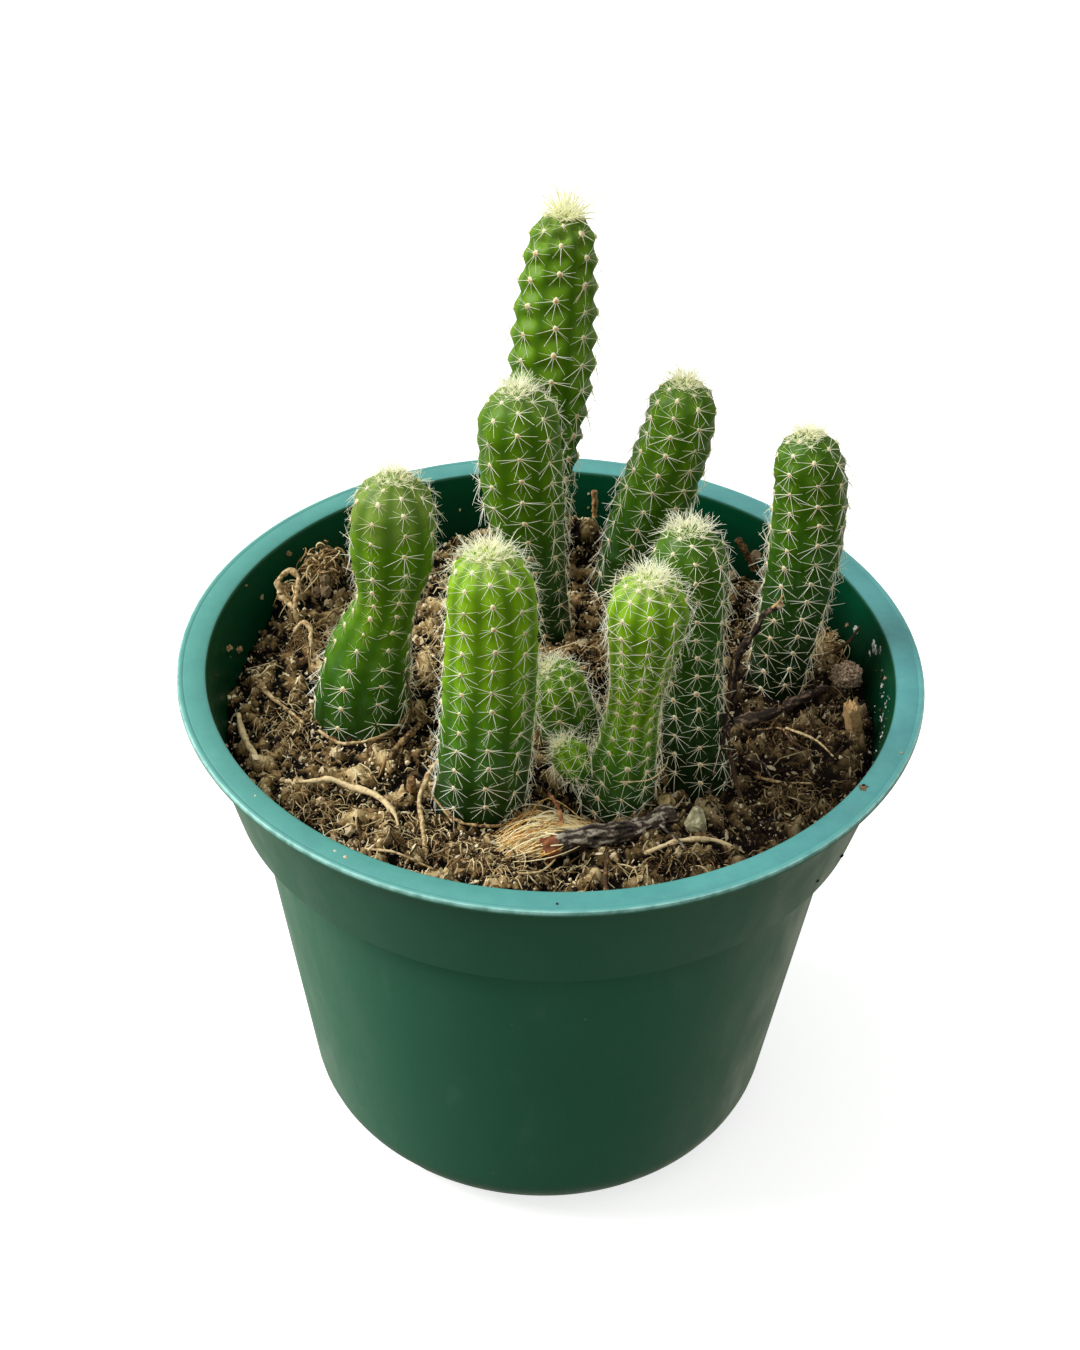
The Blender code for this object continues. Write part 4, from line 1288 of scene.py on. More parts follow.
@dataclass(frozen=True)
class PeanutStem:
    """One ribbed stem: stations (x, y, z, crest radius) from the soil up and its tip, in millimetres."""

    name: str
    ribs: int
    stations: tuple
    tip: tuple
    twist: float = 0.0
    pitch: float = 3.4
    # Partly painted light: lower values make the stem darker, as on stems that stand in shade.
    vigour: float = 0.8
    buried: float = 12.0
    foot_taper: float = 0.86
    dome_ratio: float = 1.05
    rib_depth: float = 0.06
    roundness: float = 0.8
    tubercle: float = 0.32
    spine_length: float = 3.1
    # Painted light: raises the colour where the stem is thin, as if light glowed through it.
    glow: float = 0.0
    # Painted light: shifts this stem's colour up the height ramp where it stands lit, down where it stands in
    # shade.
    sunlit: float = 0.0
    spines: int = 10
    fan: float = 150.0
    lean: float = 75.0
    pad_radius: float = 0.46
    tuft: int = 22
    tuft_radius: float = 2.3
    tuft_reach: float = 1.0
    tuft_youth: float = 0.5
    segments_per_rib: int = 7
    row_height: float = 0.55
    spine_girth: float = 0.0172
    tuft_girth: float = 0.0205
    turn_jitter: float = 0.03
    run_jitter: float = 0.15
    lean_jitter: float = 5.0
    reaches: tuple = (0.85, 1.12)
    pads: tuple = (0.8, 1.2)
    rust_patch: float = 7.0

    @property
    def phase_step(self) -> float:
        """How far each rib's areoles stand above the last rib's, in rows: about half of one."""
        return (self.ribs // 2) / self.ribs

    def smooth_skin(self, track: Track) -> Mesh:
        """The stem without its relief, with what the rib tree reads on each point.

        Args:
            track: The stem's axis.

        Returns:
            A closed mesh.
        """
        around = self.ribs * self.segments_per_rib
        rows = round(track.skin_length / (self.row_height * MM))
        above = track.skin_length - track.soil_line
        skin = SkinPoints(("turn", "rows", "girth", "fade", "height", "vigour"), ("out",))

        def note(point: Vector, turn: float, run: float, girth: float, out: Vector, fade: float) -> None:
            """Add a point of the skin with its place round and along the stem.

            Args:
                point: Where it is.
                turn: Its angle round the stem.
                run: The skin's length up to it.
                girth: The radius there.
                out: The way out of the skin.
                fade: Its share of the relief.
            """
            thin = 1 - track.at(min(run, track.body_end)).w / track.widest
            # The height carries painted light: the glow where the stem is thin and the sunlit shift.
            skin.add(point, turn=turn, rows=track.row_at(run), girth=girth, fade=fade, vigour=self.vigour,
                     height=(run - track.soil_line) / above + self.glow * thin + self.sunlit, out=out)

        foot = track.at(0)
        note(foot.xyz - Vector((0, 0, 1 * MM)), 0, 0, 0, Vector((0, 0, -1)), 0)
        for row in range(rows):
            run = track.skin_length * (row + 0.25) / rows
            centre, girth, bow, (along, side, front) = track.ring(run)
            if run < 2 * MM:
                girth *= sin(pi / 2 * (0.35 + 0.65 * run / (2 * MM)))
            fade = min(1, cos(bow) * 1.6)
            for step in range(around):
                turn = 2 * pi * step / around
                angle = turn + radians(self.twist)
                radial = side * cos(angle) + front * sin(angle)
                out = (radial * cos(bow) + along * sin(bow)).normalized()
                note(centre + radial * girth, turn, run, girth, out, fade)
        top, _, _, (along, _, _) = track.ring(track.skin_length)
        note(top, 0, track.skin_length, 0, along, 0)
        faces = [(0, 1 + (step + 1) % around, 1 + step) for step in range(around)]
        for low in range(1, 1 + (rows - 1) * around, around):
            faces += [(low + step, low + (step + 1) % around, low + around + (step + 1) % around,
                       low + around + step) for step in range(around)]
        last = 1 + (rows - 1) * around
        faces += [(last + step, last + (step + 1) % around, len(skin.points) - 1) for step in range(around)]
        return skin.mesh(self.name, faces)

    def areoles(self, track: Track, draw: random.Random) -> Mesh:
        """A point for each areole up every rib.

        Args:
            track: The stem's axis.
            draw: Its random numbers.

        Returns:
            A mesh of points.
        """
        spots = SkinPoints(AREOLE_NUMBERS, ("out", "down"))
        for rib in range(self.ribs):
            phase = (rib * self.phase_step) % 1
            for row in range(int(track.row_at(track.soil_line)), len(track.rows) - 1):
                run = track.run_at(row + phase)
                if run > track.skin_length * 0.985:
                    break
                turn = 2 * pi * rib / self.ribs + radians(self.twist)
                turn += draw.uniform(-self.turn_jitter, self.turn_jitter)
                shift = draw.uniform(-self.run_jitter, self.run_jitter) * MM
                point, out = track.skin(run + shift, turn)
                if point.z < SOIL.height(point.x, point.y) + 0.4 * MM:
                    continue
                up = track.axes(min(run, track.length))[0]
                dome = clamp((run - track.body_end) / track.dome_arc)
                thin = 1 - track.at(min(run, track.body_end)).w / track.widest
                rust = 1.8 * thin + 0.8 * noise.noise(point / (self.rust_patch * MM)) - 0.05
                spots.add(
                    point - out * 0.1 * MM, out=out,
                    down=-up if dome < 0.9 else Vector((0, -1, 0)),
                    reach=self.spine_length * MM * draw.uniform(*self.reaches)
                    * (1 - 0.2 * dome) * (1 - thin),
                    lean=radians(self.lean - 34 * dome ** 1.3
                                 + draw.uniform(-self.lean_jitter, self.lean_jitter)),
                    youth=dome ** 1.6 * 0.8, rust=clamp(rust, 0, 0.85),
                    pad=self.pad_radius * MM * draw.uniform(*self.pads) * (1 - 0.15 * dome))
        return spots.mesh(self.name + "_areoles", [])

    def crown(self, track: Track, draw: random.Random) -> Mesh:
        """Points of the crown's tuft, close together round the stem's top.

        Args:
            track: The stem's axis.
            draw: Its random numbers.

        Returns:
            A mesh of points.
        """
        spots = SkinPoints(AREOLE_NUMBERS, ("out", "down"))
        for number in range(self.tuft):
            share = sqrt((number + 0.5) / self.tuft)
            turn = number * GOLDEN_ANGLE + draw.uniform(-0.2, 0.2)
            point, out = track.skin(track.skin_length - share * self.tuft_radius * MM, turn)
            spots.add(
                point - out * 0.15 * MM, out=out,
                down=Vector((cos(turn), sin(turn), -0.2)).normalized(),
                reach=self.tuft_reach * self.spine_length * MM * draw.uniform(0.5, 1.05)
                * (1 - 0.1 * share),
                lean=radians(draw.uniform(4, 32) + 36 * share ** 1.5),
                youth=self.tuft_youth + draw.uniform(-0.3, 0.3), rust=0,
                pad=self.pad_radius * MM * draw.uniform(0.35, 0.65))
        return spots.mesh(self.name + "_crown", [])

    def build(self, ribs: Shaper, areoles: Shaper) -> list:
        """Build the stem's flesh and spines.

        Args:
            ribs: Raises ribs and tubercles.
            areoles: Grows pads and spines.

        Returns:
            The meshes of the flesh, the areoles and the crown.
        """
        draw = random.Random(f"{self.name}{SEED}")
        track = Track(self)
        flesh = ribs.make(self.smooth_skin(track), {
            "Ribs": float(self.ribs), "Rib Depth": self.rib_depth, "Roundness": self.roundness,
            "Tubercle Height": self.tubercle * MM, "Phase Step": self.phase_step, "Wobble": 0.5 * MM,
            "Skin": SKIN.material()})
        common = {"Horn": HORN.material(), "Wool": WOOL.material(), "Curve": 0.05, "Segments": 2,
                  "Pad Detail": 1}
        fans = areoles.make(self.areoles(track, draw), {
            **common, "Spines": self.spines, "Slenderness": self.spine_girth, "Fan": radians(self.fan),
            "Fan Jitter": radians(15), "Lean Jitter": radians(14), "Seed": SEED})
        tuft = areoles.make(self.crown(track, draw), {
            **common, "Spines": 7, "Slenderness": self.tuft_girth, "Fan": radians(115),
            "Fan Jitter": radians(36), "Lean Jitter": radians(12), "Seed": SEED + 1})
        return [flesh, fans, tuft]


BUD = PeanutStem(
    "bud", 7, ((7.6, -21.4, 80.2, 2.2), (4.6, -21.2, 82.4, 2.9)), (1.6, -21, 86), pitch=1.9, vigour=0.9,
    buried=0, rib_depth=0.05, tubercle=0.15, spine_length=2.9, spines=9, fan=150, lean=62, pad_radius=0.28,
    tuft=6, tuft_radius=1.5, tuft_youth=0.3, tuft_reach=0.85, row_height=0.4)

STEMS = (
    PeanutStem("stem_back_tall", 8, (
        (-3, 37, 75.5, 5.2), (-3, 37, 90, 5.3), (-2.3, 37, 102, 5.9),
        (-1.6, 37, 115, 6.9), (-1.2, 37.3, 126, 6.5), (-0.7, 37.7, 135, 5.7),
    ), (-0.3, 38, 141.8), pitch=4.6, vigour=0.5, rib_depth=0.06, roundness=0.6, tubercle=1.7,
        spine_length=3.4, spines=9, pad_radius=0.56, tuft=30, tuft_radius=2.2, tuft_reach=1.6,
        tuft_youth=0.8, segments_per_rib=8, row_height=0.45),
    PeanutStem("stem_back_middle", 8, (
        (-1.2, 19, 75.5, 4.4), (-1.8, 19, 81, 4.4), (-3.2, 18.7, 91, 4.8),
        (-5.1, 18.2, 102.6, 6.3), (-6.1, 18, 114.5, 6.4),
    ), (-6.6, 18, 122.6), twist=3, pitch=3.9, vigour=0.4, spine_length=3.2),
    PeanutStem("stem_left", 8, (
        (-29, -3.3, 75.5, 7.5), (-28.9, -3.3, 79, 7.7), (-27.6, -3.5, 88.5, 6.5),
        (-24.8, -3.8, 98.5, 4.8), (-23.8, -4, 107.8, 6.5), (-23.7, -4, 114.2, 6.4),
    ), (-23.6, -4, 120.8), twist=20, pitch=3.55, vigour=0.5, sunlit=0.14),
    PeanutStem("stem_front_left", 9, (
        (-10, -23.2, 75.5, 6.8), (-9.5, -23.3, 84.4, 6.9), (-8.9, -23.5, 95.8, 6.9),
        (-8.6, -23.8, 106.8, 6.8), (-8.7, -24, 114.8, 6.4),
    ), (-9.3, -24, 122.1), twist=-4, pitch=3.6, vigour=1, spine_length=2.9, spines=11, tuft=27,
        tuft_radius=2.7, tuft_reach=1.2),
    PeanutStem("stem_short", 8, (
        (3.6, -6.9, 75.5, 5), (2.4, -7, 80.4, 5), (1.2, -7.4, 85, 4.8),
    ), (-0.5, -8, 90.3), pitch=3, vigour=0.65, spine_length=3, tuft=5, tuft_radius=1.7,
        tuft_youth=0.2, tuft_reach=0.85),
    PeanutStem("stem_front_right", 9, (
        (10.5, -21.3, 75.5, 5.5), (11, -21.8, 82.2, 5.2), (11.8, -22.8, 92.4, 4.1),
        (12.3, -23.6, 98.6, 4), (13, -24.8, 108.5, 5.2), (13.2, -25.6, 114, 5.8),
    ), (13.2, -26, 120), twist=-9, pitch=3.1, vigour=0.95, glow=0.6),
    PeanutStem("stem_middle_right", 8, (
        (22.3, -16, 75.5, 5.3), (21.6, -15.5, 83, 4.9), (21, -14.8, 90, 4.6),
        (20.3, -13.6, 98.6, 4.8), (19.8, -12.4, 106.7, 5.5), (19.3, -11.6, 112.5, 5.7),
    ), (18.9, -11.5, 118.5), twist=9, pitch=3.3, vigour=0.2, sunlit=-0.12),
    PeanutStem("stem_back_right", 8, (
        (11.4, 30.6, 75.5, 5.2), (12.4, 30.6, 83, 5.4), (14.9, 30.6, 93, 6),
        (17.7, 30.8, 103.5, 6), (19, 31, 110.5, 5.6),
    ), (19.3, 31, 117.2), twist=-17, pitch=3.55, vigour=0.35, tubercle=0.5),
    PeanutStem("stem_right", 8, (
        (35.7, 9.3, 75.5, 4.7), (36.3, 9.4, 83.8, 5.1), (37.3, 9.5, 91.5, 5.4),
        (38.1, 9.8, 101, 5.8), (38.1, 10, 110, 5.8), (37.5, 10, 115.2, 5.5),
    ), (36.5, 10, 121.5), twist=10, pitch=3.5, vigour=0.25, tubercle=0.55, sunlit=-0.1),
)


def joined(name: str, meshes: list) -> Mesh:
    """Join meshes into one, with their materials and attributes.

    Args:
        name: Its name.
        meshes: The meshes, which are used up.

    Returns:
        The joined mesh.
    """
    items = [shown(name, mesh) for mesh in meshes]
    with bpy.context.temp_override(active_object=items[0], selected_editable_objects=items):
        bpy.ops.object.join()
    result = items[0].data
    bpy.data.objects.remove(items[0], do_unlink=True)
    return result


class CactusClump:
    """The nine stems and the bud on the front right one."""

    def __init__(self) -> None:
        """Make the two trees that every stem shares."""
        self.ribs = make_rib_shaper()
        self.areoles = make_spine_shaper()

    def build(self) -> None:
        """Build every stem as a piece of flesh and a piece of spines."""
        for stem in STEMS:
            flesh, *needles = stem.build(self.ribs, self.areoles)
            bodies = [flesh]
            if stem.name == "stem_front_right":
                flesh, *more = BUD.build(self.ribs, self.areoles)
                bodies.append(flesh)
                needles += more
            place_piece(stem.name + "_flesh", joined("flesh", bodies), Slot.STEM, (stem.name,))
            place_piece(stem.name + "_spines", joined("spines", needles), Slot.STEM, (stem.name,))


def make_tube_shaper() -> Shaper:
    """Geometry Nodes tree that turns polylines into tubes ridged along their length.

    Returns:
        The tree.
    """
    shaper = Shaper("tubes_along_lines", {
        "Sides": int, "Relief": float, "Grain": float, "Stretch": float, "Finish": Material})
    add, given = shaper.add, shaper.given
    line = add("GeometryNodeMeshToCurve", {"Mesh": given["Geometry"]})
    line = add(Node.STORE, line, "along", add(Node.ALONG, output="Length"))
    thick = add(Node.NAMED, "thick")
    ring = add(Node.RING, given["Sides"], 1)
    ring = add(Node.STORE, ring, "around", add(Node.WHERE), data_type="FLOAT_VECTOR")
    tube = add(Node.SWEEP, line, ring, thick, True)
    wide = add(Node.SCALE, add(Node.NAMED_VECTOR, "around"), thick)
    upright = add(Node.JOIN, 0, 0, add(Sum.DIVIDE, add(Node.NAMED, "along"), given["Stretch"]))
    grain = add(Node.NOISE, add(Node.OFFSET, wide, upright), given["Grain"], 3, 0.6)
    rough = add(Sum.MULTIPLY, add(Sum.SUBTRACT, grain, 0.5), given["Relief"])
    scaled = add(Sum.MULTIPLY, rough, thick)
    moved = add(Node.SHIFT, tube, add(Node.SCALE, add("GeometryNodeInputNormal"), scaled))
    shaper.finish(shaper.dressed(add(Node.STORE, moved, "ridge", grain), "Finish"))
    return shaper


class Lines:
    """Polylines gathered for the tube tree, each with its thickness and tone."""

    def __init__(self) -> None:
        """Start with no lines."""
        self.points, self.edges, self.thicks, self.tones, self.broken = [], [], [], [], []

    def add(self, route: list, thick: list, tone: float, broken: list | None = None) -> None:
        """Add one polyline.

        Args:
            route: Its points.
            thick: The tube's radius at each point.
            tone: Its shade, from 0 dark to 1 pale.
            broken: How far each point shows broken wood.
        """
        first = len(self.points)
        self.points += route
        self.edges += [(first + step, first + step + 1) for step in range(len(route) - 1)]
        self.thicks += thick
        self.tones += [tone] * len(route)
        self.broken += broken or [0] * len(route)

    def mesh(self, name: str) -> Mesh:
        """The lines as a mesh of edges.

        Args:
            name: The mesh's name.

        Returns:
            The mesh.
        """
        made = bpy.data.meshes.new(name)
        made.from_pydata(self.points, self.edges, [])
        for title, column in (("thick", self.thicks), ("tone", self.tones), ("broken", self.broken)):
            store(made, title, column)
        return made


def make_crumb_shaper() -> Shaper:
    """Geometry Nodes tree that scatters rough crumbs, or thin flakes, over a surface.

    Returns:
        The tree.
    """
    shaper = Shaper("crumbs", {
        "Density": float, "Smallest": float, "Largest": float, "Thinness": float, "Length": float,
        "Detail": int, "Dullest": float, "Palest": float, "Seed": int, "Finish": Material})
    add, given = shaper.add, shaper.given
    points = add("GeometryNodeDistributePointsOnFaces", {
        "Mesh": given["Geometry"], "Density": given["Density"], "Seed": given["Seed"]},
        distribute_method="RANDOM")
    shapes = []
    for number in range(6):
        ball = add("GeometryNodeMeshIcoSphere", {"Radius": 1, "Subdivisions": given["Detail"]})
        where = add(Node.WHERE)
        lump = add(Node.NOISE, add(Node.OFFSET, where, (3.1 * number, 1.7 * number, 0)), 1.5, 4, 0.7)
        swell = add(Node.RANGE, lump, 0.32, 0.68, 0.4, 1.4)
        shapes.append(add(Node.MOVE, ball, add(Node.SCALE, where, swell)))
    shapes = add("GeometryNodeGeometryToInstance", {"Geometry": shapes})
    seeds = [add(Sum.ADD, given["Seed"], offset) for offset in (0, 3, 5, 9, 17)]
    spun = add(Node.EULER, add(Node.RANDOM_VECTOR, (0,) * 3, (6.28,) * 3, seeds[0]))
    rare = add(Sum.POWER, add(Node.RANDOM, 0, 1, seeds[1]), 2.4)
    size = add(Node.RANGE, rare, 0, 1, given["Smallest"], given["Largest"])
    squash = add(Node.RANDOM_VECTOR, (0.6, 0.6, 0.5), (1.3, 1, 0.9), seeds[2])
    plated = add(Node.STRETCH, squash, add(Node.JOIN, given["Length"], 1, given["Thinness"]))
    crumbs = add(Node.INSTANCE, points, shapes, spun, add(Node.SCALE, plated, size), {
        "Pick Instance": True, "Instance Index": add(Node.RANDOM_WHOLE, 0, 5, seeds[3])})
    tone = add(Node.RANDOM, given["Dullest"], given["Palest"], seeds[4])
    crumbs = add(Node.STORE, crumbs, "tone", tone, domain="INSTANCE")
    shaper.finish(add(Node.PAINT, add(Node.REALIZE, crumbs), given["Finish"]))
    return shaper


@dataclass(frozen=True)
class Scatter:
    """A scattering of crumbs: how dense (on a square millimetre), how large, how thin, how pale."""

    density: float
    smallest: float
    largest: float
    finish: Finish
    thinness: float = 1.0
    length: float = 1.0
    detail: int = 1
    tones: tuple = (0.0, 1.0)
    seed: int = SEED

    def over(self, face: Mesh, crumbs: Shaper) -> Mesh:
        """Scatter the crumbs over a surface.

        Args:
            face: The surface, which is kept.
            crumbs: The crumb tree.

        Returns:
            The crumbs as one mesh.
        """
        return crumbs.make(face.copy(), {
            "Density": self.density / MM ** 2, "Smallest": self.smallest * MM, "Largest": self.largest * MM,
            "Thinness": self.thinness, "Length": self.length, "Detail": self.detail, "Dullest": self.tones[0],
            "Palest": self.tones[1], "Seed": self.seed, "Finish": self.finish.material()})


@dataclass(frozen=True)
class Thicket:
    """Fine roots and fibres that curl over each other in a heap, in millimetres."""

    place: tuple
    spread: tuple
    count: int
    length: tuple = (2.0, 6.0)
    thick: tuple = (0.05, 0.12)
    tones: tuple = (0.35, 1.0)
    curl: float = 0.9

    def lay(self, lines: Lines, draw: random.Random) -> None:
        """Add the heap's curling lines.

        Args:
            lines: Where they go.
            draw: Their random numbers.
        """
        base = SOIL.spot(*self.place)
        for _ in range(self.count):
            spot = base + Vector([draw.gauss(0, 0.45) * part * MM for part in self.spread])
            heading = draw.uniform(0, 2 * pi)
            climb = draw.uniform(-0.5, 0.9)
            bend = draw.choice((-1, 1)) * draw.uniform(0.2, self.curl)
            step = draw.uniform(*self.length) / 7
            route = []
            for _ in range(8):
                spot.z = max(spot.z, SOIL.top(spot.x, spot.y) + 0.05 * MM)
                route.append(spot.copy())
                heading += bend
                climb -= 0.28
                spot += Vector((cos(heading), sin(heading), climb)) * step * MM
            if SOIL.reach(route[-1].x, route[-1].y) > 0.98 or SOIL.reach(route[0].x, route[0].y) > 0.98:
                continue
            radius = draw.uniform(*self.thick) * MM
            lines.add(route, [radius * (1 - 0.5 * abs(i / 3.5 - 1)) for i in range(8)],
                      draw.uniform(*self.tones))


@dataclass(frozen=True)
class StuckGrain:
    """A grain of the mix, or a flake of dried salts, that sticks to the pot, in millimetres and degrees."""

    azimuth: float
    z: float
    size: float
    finish: Finish = CRUMB
    tone: float = 0.4
    thinness: float = 1.0
    outside: bool = False
    radius: float = 0.0

    def mesh(self) -> Mesh:
        """The grain as a small rough lump, half sunk into what dries it to the pot.

        Returns:
            The mesh.
        """
        turn = radians(self.azimuth)
        away = on_circle(1, turn)
        reach = self.radius or POT.inner_radius(self.z) - 0.3 * self.size * self.thinness
        if self.outside:
            reach += POT.wall + 0.55 * self.size
        shape = bmesh.new()
        bmesh.ops.create_icosphere(shape, subdivisions=2 if self.size > 0.75 else 1, radius=1)
        for vert in shape.verts:
            rough = 1 + 1.1 * noise.noise(vert.co * 1.9 + Vector((self.azimuth, self.z, 0)))
            part = vert.co * rough * self.size * 0.5
            face = Vector((0, 0, 1)) if self.radius else away
            part -= face * part.dot(face) * (1 - self.thinness)
            vert.co = (part + away * reach + Vector((0, 0, self.z))) * MM
        made = poured("stuck_grain", shape)
        made.materials.append(self.finish.material())
        store(made, "tone", [self.tone] * len(made.vertices))
        return made


def crust(azimuth: float, z: float, spread: float, count: int, size: float) -> list:
    """Flakes of dried salts in a patch on the inner wall.

    Args:
        azimuth: Where the patch is, in degrees.
        z: Its height in millimetres.
        spread: How far its flakes lie from its middle, in millimetres.
        count: How many flakes it has.
        size: The largest flake.

    Returns:
        The flakes.
    """
    draw = random.Random(f"crust{azimuth}{z}")
    return [StuckGrain(azimuth + draw.gauss(0, 0.6 * spread), z + draw.gauss(0, 0.5 * spread),
                       size * draw.uniform(0.3, 1), SALT, draw.uniform(0.2, 1.2), 0.35)
            for _ in range(count)]


STUCK_GRAINS = (
    StuckGrain(171.9, 80.2, 1.0, tone=0.55), StuckGrain(168.3, 77.6, 1.1, tone=0.5),
    StuckGrain(159.9, 84.6, 0.5),
    StuckGrain(156.1, 80.4, 0.8, CHIP, 0.5, 0.5), StuckGrain(146.6, 83.6, 0.9, tone=0.3),
    StuckGrain(-160.0, 80.5, 0.7, tone=0.6), StuckGrain(19.2, 80.7, 1.2, SALT, 0.4, 0.5),
    *[flake for patch in (
        (19.2, 80.7, 0.6, 5, 0.6), (11.8, 82.3, 1.0, 16, 0.9), (9.6, 83.2, 0.6, 8, 0.5),
        (12.2, 80.4, 0.6, 7, 0.5), (3.2, 80.9, 0.7, 8, 0.5), (0.7, 80.3, 0.7, 8, 0.5),
        (-3.3, 81.6, 0.8, 9, 0.6), (-4.4, 79.6, 0.8, 9, 0.5),
        (-9.5, 80.4, 1.0, 8, 0.5)) for flake in crust(*patch)],
    *[StuckGrain(azimuth, z, size, tone=tone, outside=True) for azimuth, z, size, tone in (
        (-120.4, 80.7, 1.1, 0.0), (-119.2, 80.3, 0.7, 0.2), (-121.2, 81.3, 0.5, 0.1), (-27.9, 68.4, 0.7, 0.1),
        (-36.9, 69.5, 0.6, 0.1))],
    StuckGrain(-31.9, POT.lip, 1.3, CHIP, 0.4, 0.25, radius=53.7),
    StuckGrain(-31.2, POT.lip, 0.6, tone=0.1, radius=53.5),
    *[StuckGrain(azimuth, POT.lip, size, CHIP, tone, 0.3, radius=radius) for azimuth, size, tone, radius in (
        (-21.0, 0.5, 0.9, 55.6), (-122.4, 0.5, 0.8, 54.5), (-120.3, 0.7, 0.7, 54.7),
        (-140.1, 0.4, 0.8, 54.2))],
    StuckGrain(-88.0, POT.lip, 0.45, tone=0.1, thinness=0.4, radius=55.3),
    *[StuckGrain(azimuth, z, size, CHIP, tone, radius=radius) for azimuth, z, size, tone, radius in (
        (148.3, 82.6, 1.8, 0.25, 43.6), (150.5, 81.9, 1.6, 0.1, 42.0), (153.0, 81.4, 1.3, 0.3, 40.4),
        (150.2, 81.0, 1.5, 0.0, 43.8), (46.4, 82.0, 1.9, 0.2, 47.8), (40.0, 80.2, 1.7, 0.3, 43.6),
        (37.0, 79.6, 1.5, 0.0, 39.2), (42.8, 81.0, 1.4, 0.4, 46.6), (86.4, 79.3, 1.7, 0.2, 31.8))],
)

THICKETS = (
    Thicket((-38, 26.5, 4.4), (2.8, 4.8, 1.5), 170, (1.2, 4.6), (0.08, 0.26), (0, 1), 0.4),
    Thicket((-42, 17.6, 7.2), (1.1, 1.2, 1.2), 22, (2, 4), (0.1, 0.2), (0.3, 0.9), 0.9),
    Thicket((-38, 14, 0.6), (3, 5, 0.8), 60, (2, 6), (0.06, 0.14), (0.2, 0.9), 0.5),
    Thicket((-18, -33, 0.4), (10, 5, 0.7), 230, (1.8, 5.5), (0.06, 0.15), (-0.4, 1.15), 0.35),
    Thicket((-33, -26, 0.3), (6, 4, 0.5), 110, (1.8, 5), (0.05, 0.12), (0, 1.1), 0.35),
    Thicket((-40, -6, 0.3), (5, 7, 0.5), 80, (1.6, 5), (0.05, 0.12), (0.1, 1), 0.4),
    Thicket((-7, -38, 0.5), (6, 2.4, 0.8), 90, (2, 5.5), (0.06, 0.16), (-0.4, 1.2), 0.35),
    Thicket((19, -36.5, 0.4), (6, 2.2, 0.6), 80, (1.8, 5), (0.06, 0.14), (-0.4, 1.1), 0.4),
    Thicket((36.5, -20.5, 0.6), (4.4, 3.4, 0.8), 110, (1.5, 4.6), (0.06, 0.15), (0.3, 1.3), 0.5),
    Thicket((45.5, 18.5, 1.6), (2.4, 2.6, 1.8), 110, (2, 5), (0.07, 0.16), (0.45, 1), 0.8),
    Thicket((37, -6, 0.4), (5, 4, 0.7), 90, (1.8, 5), (0.05, 0.13), (0, 0.9), 0.5),
    Thicket((9, 10, 0.6), (5, 7, 0.9), 100, (2, 5), (0.08, 0.16), (0.2, 0.9), 0.6),
    Thicket((-17, 8, 0.5), (4, 8, 0.9), 100, (2, 5), (0.08, 0.16), (0.3, 1), 0.6),
)


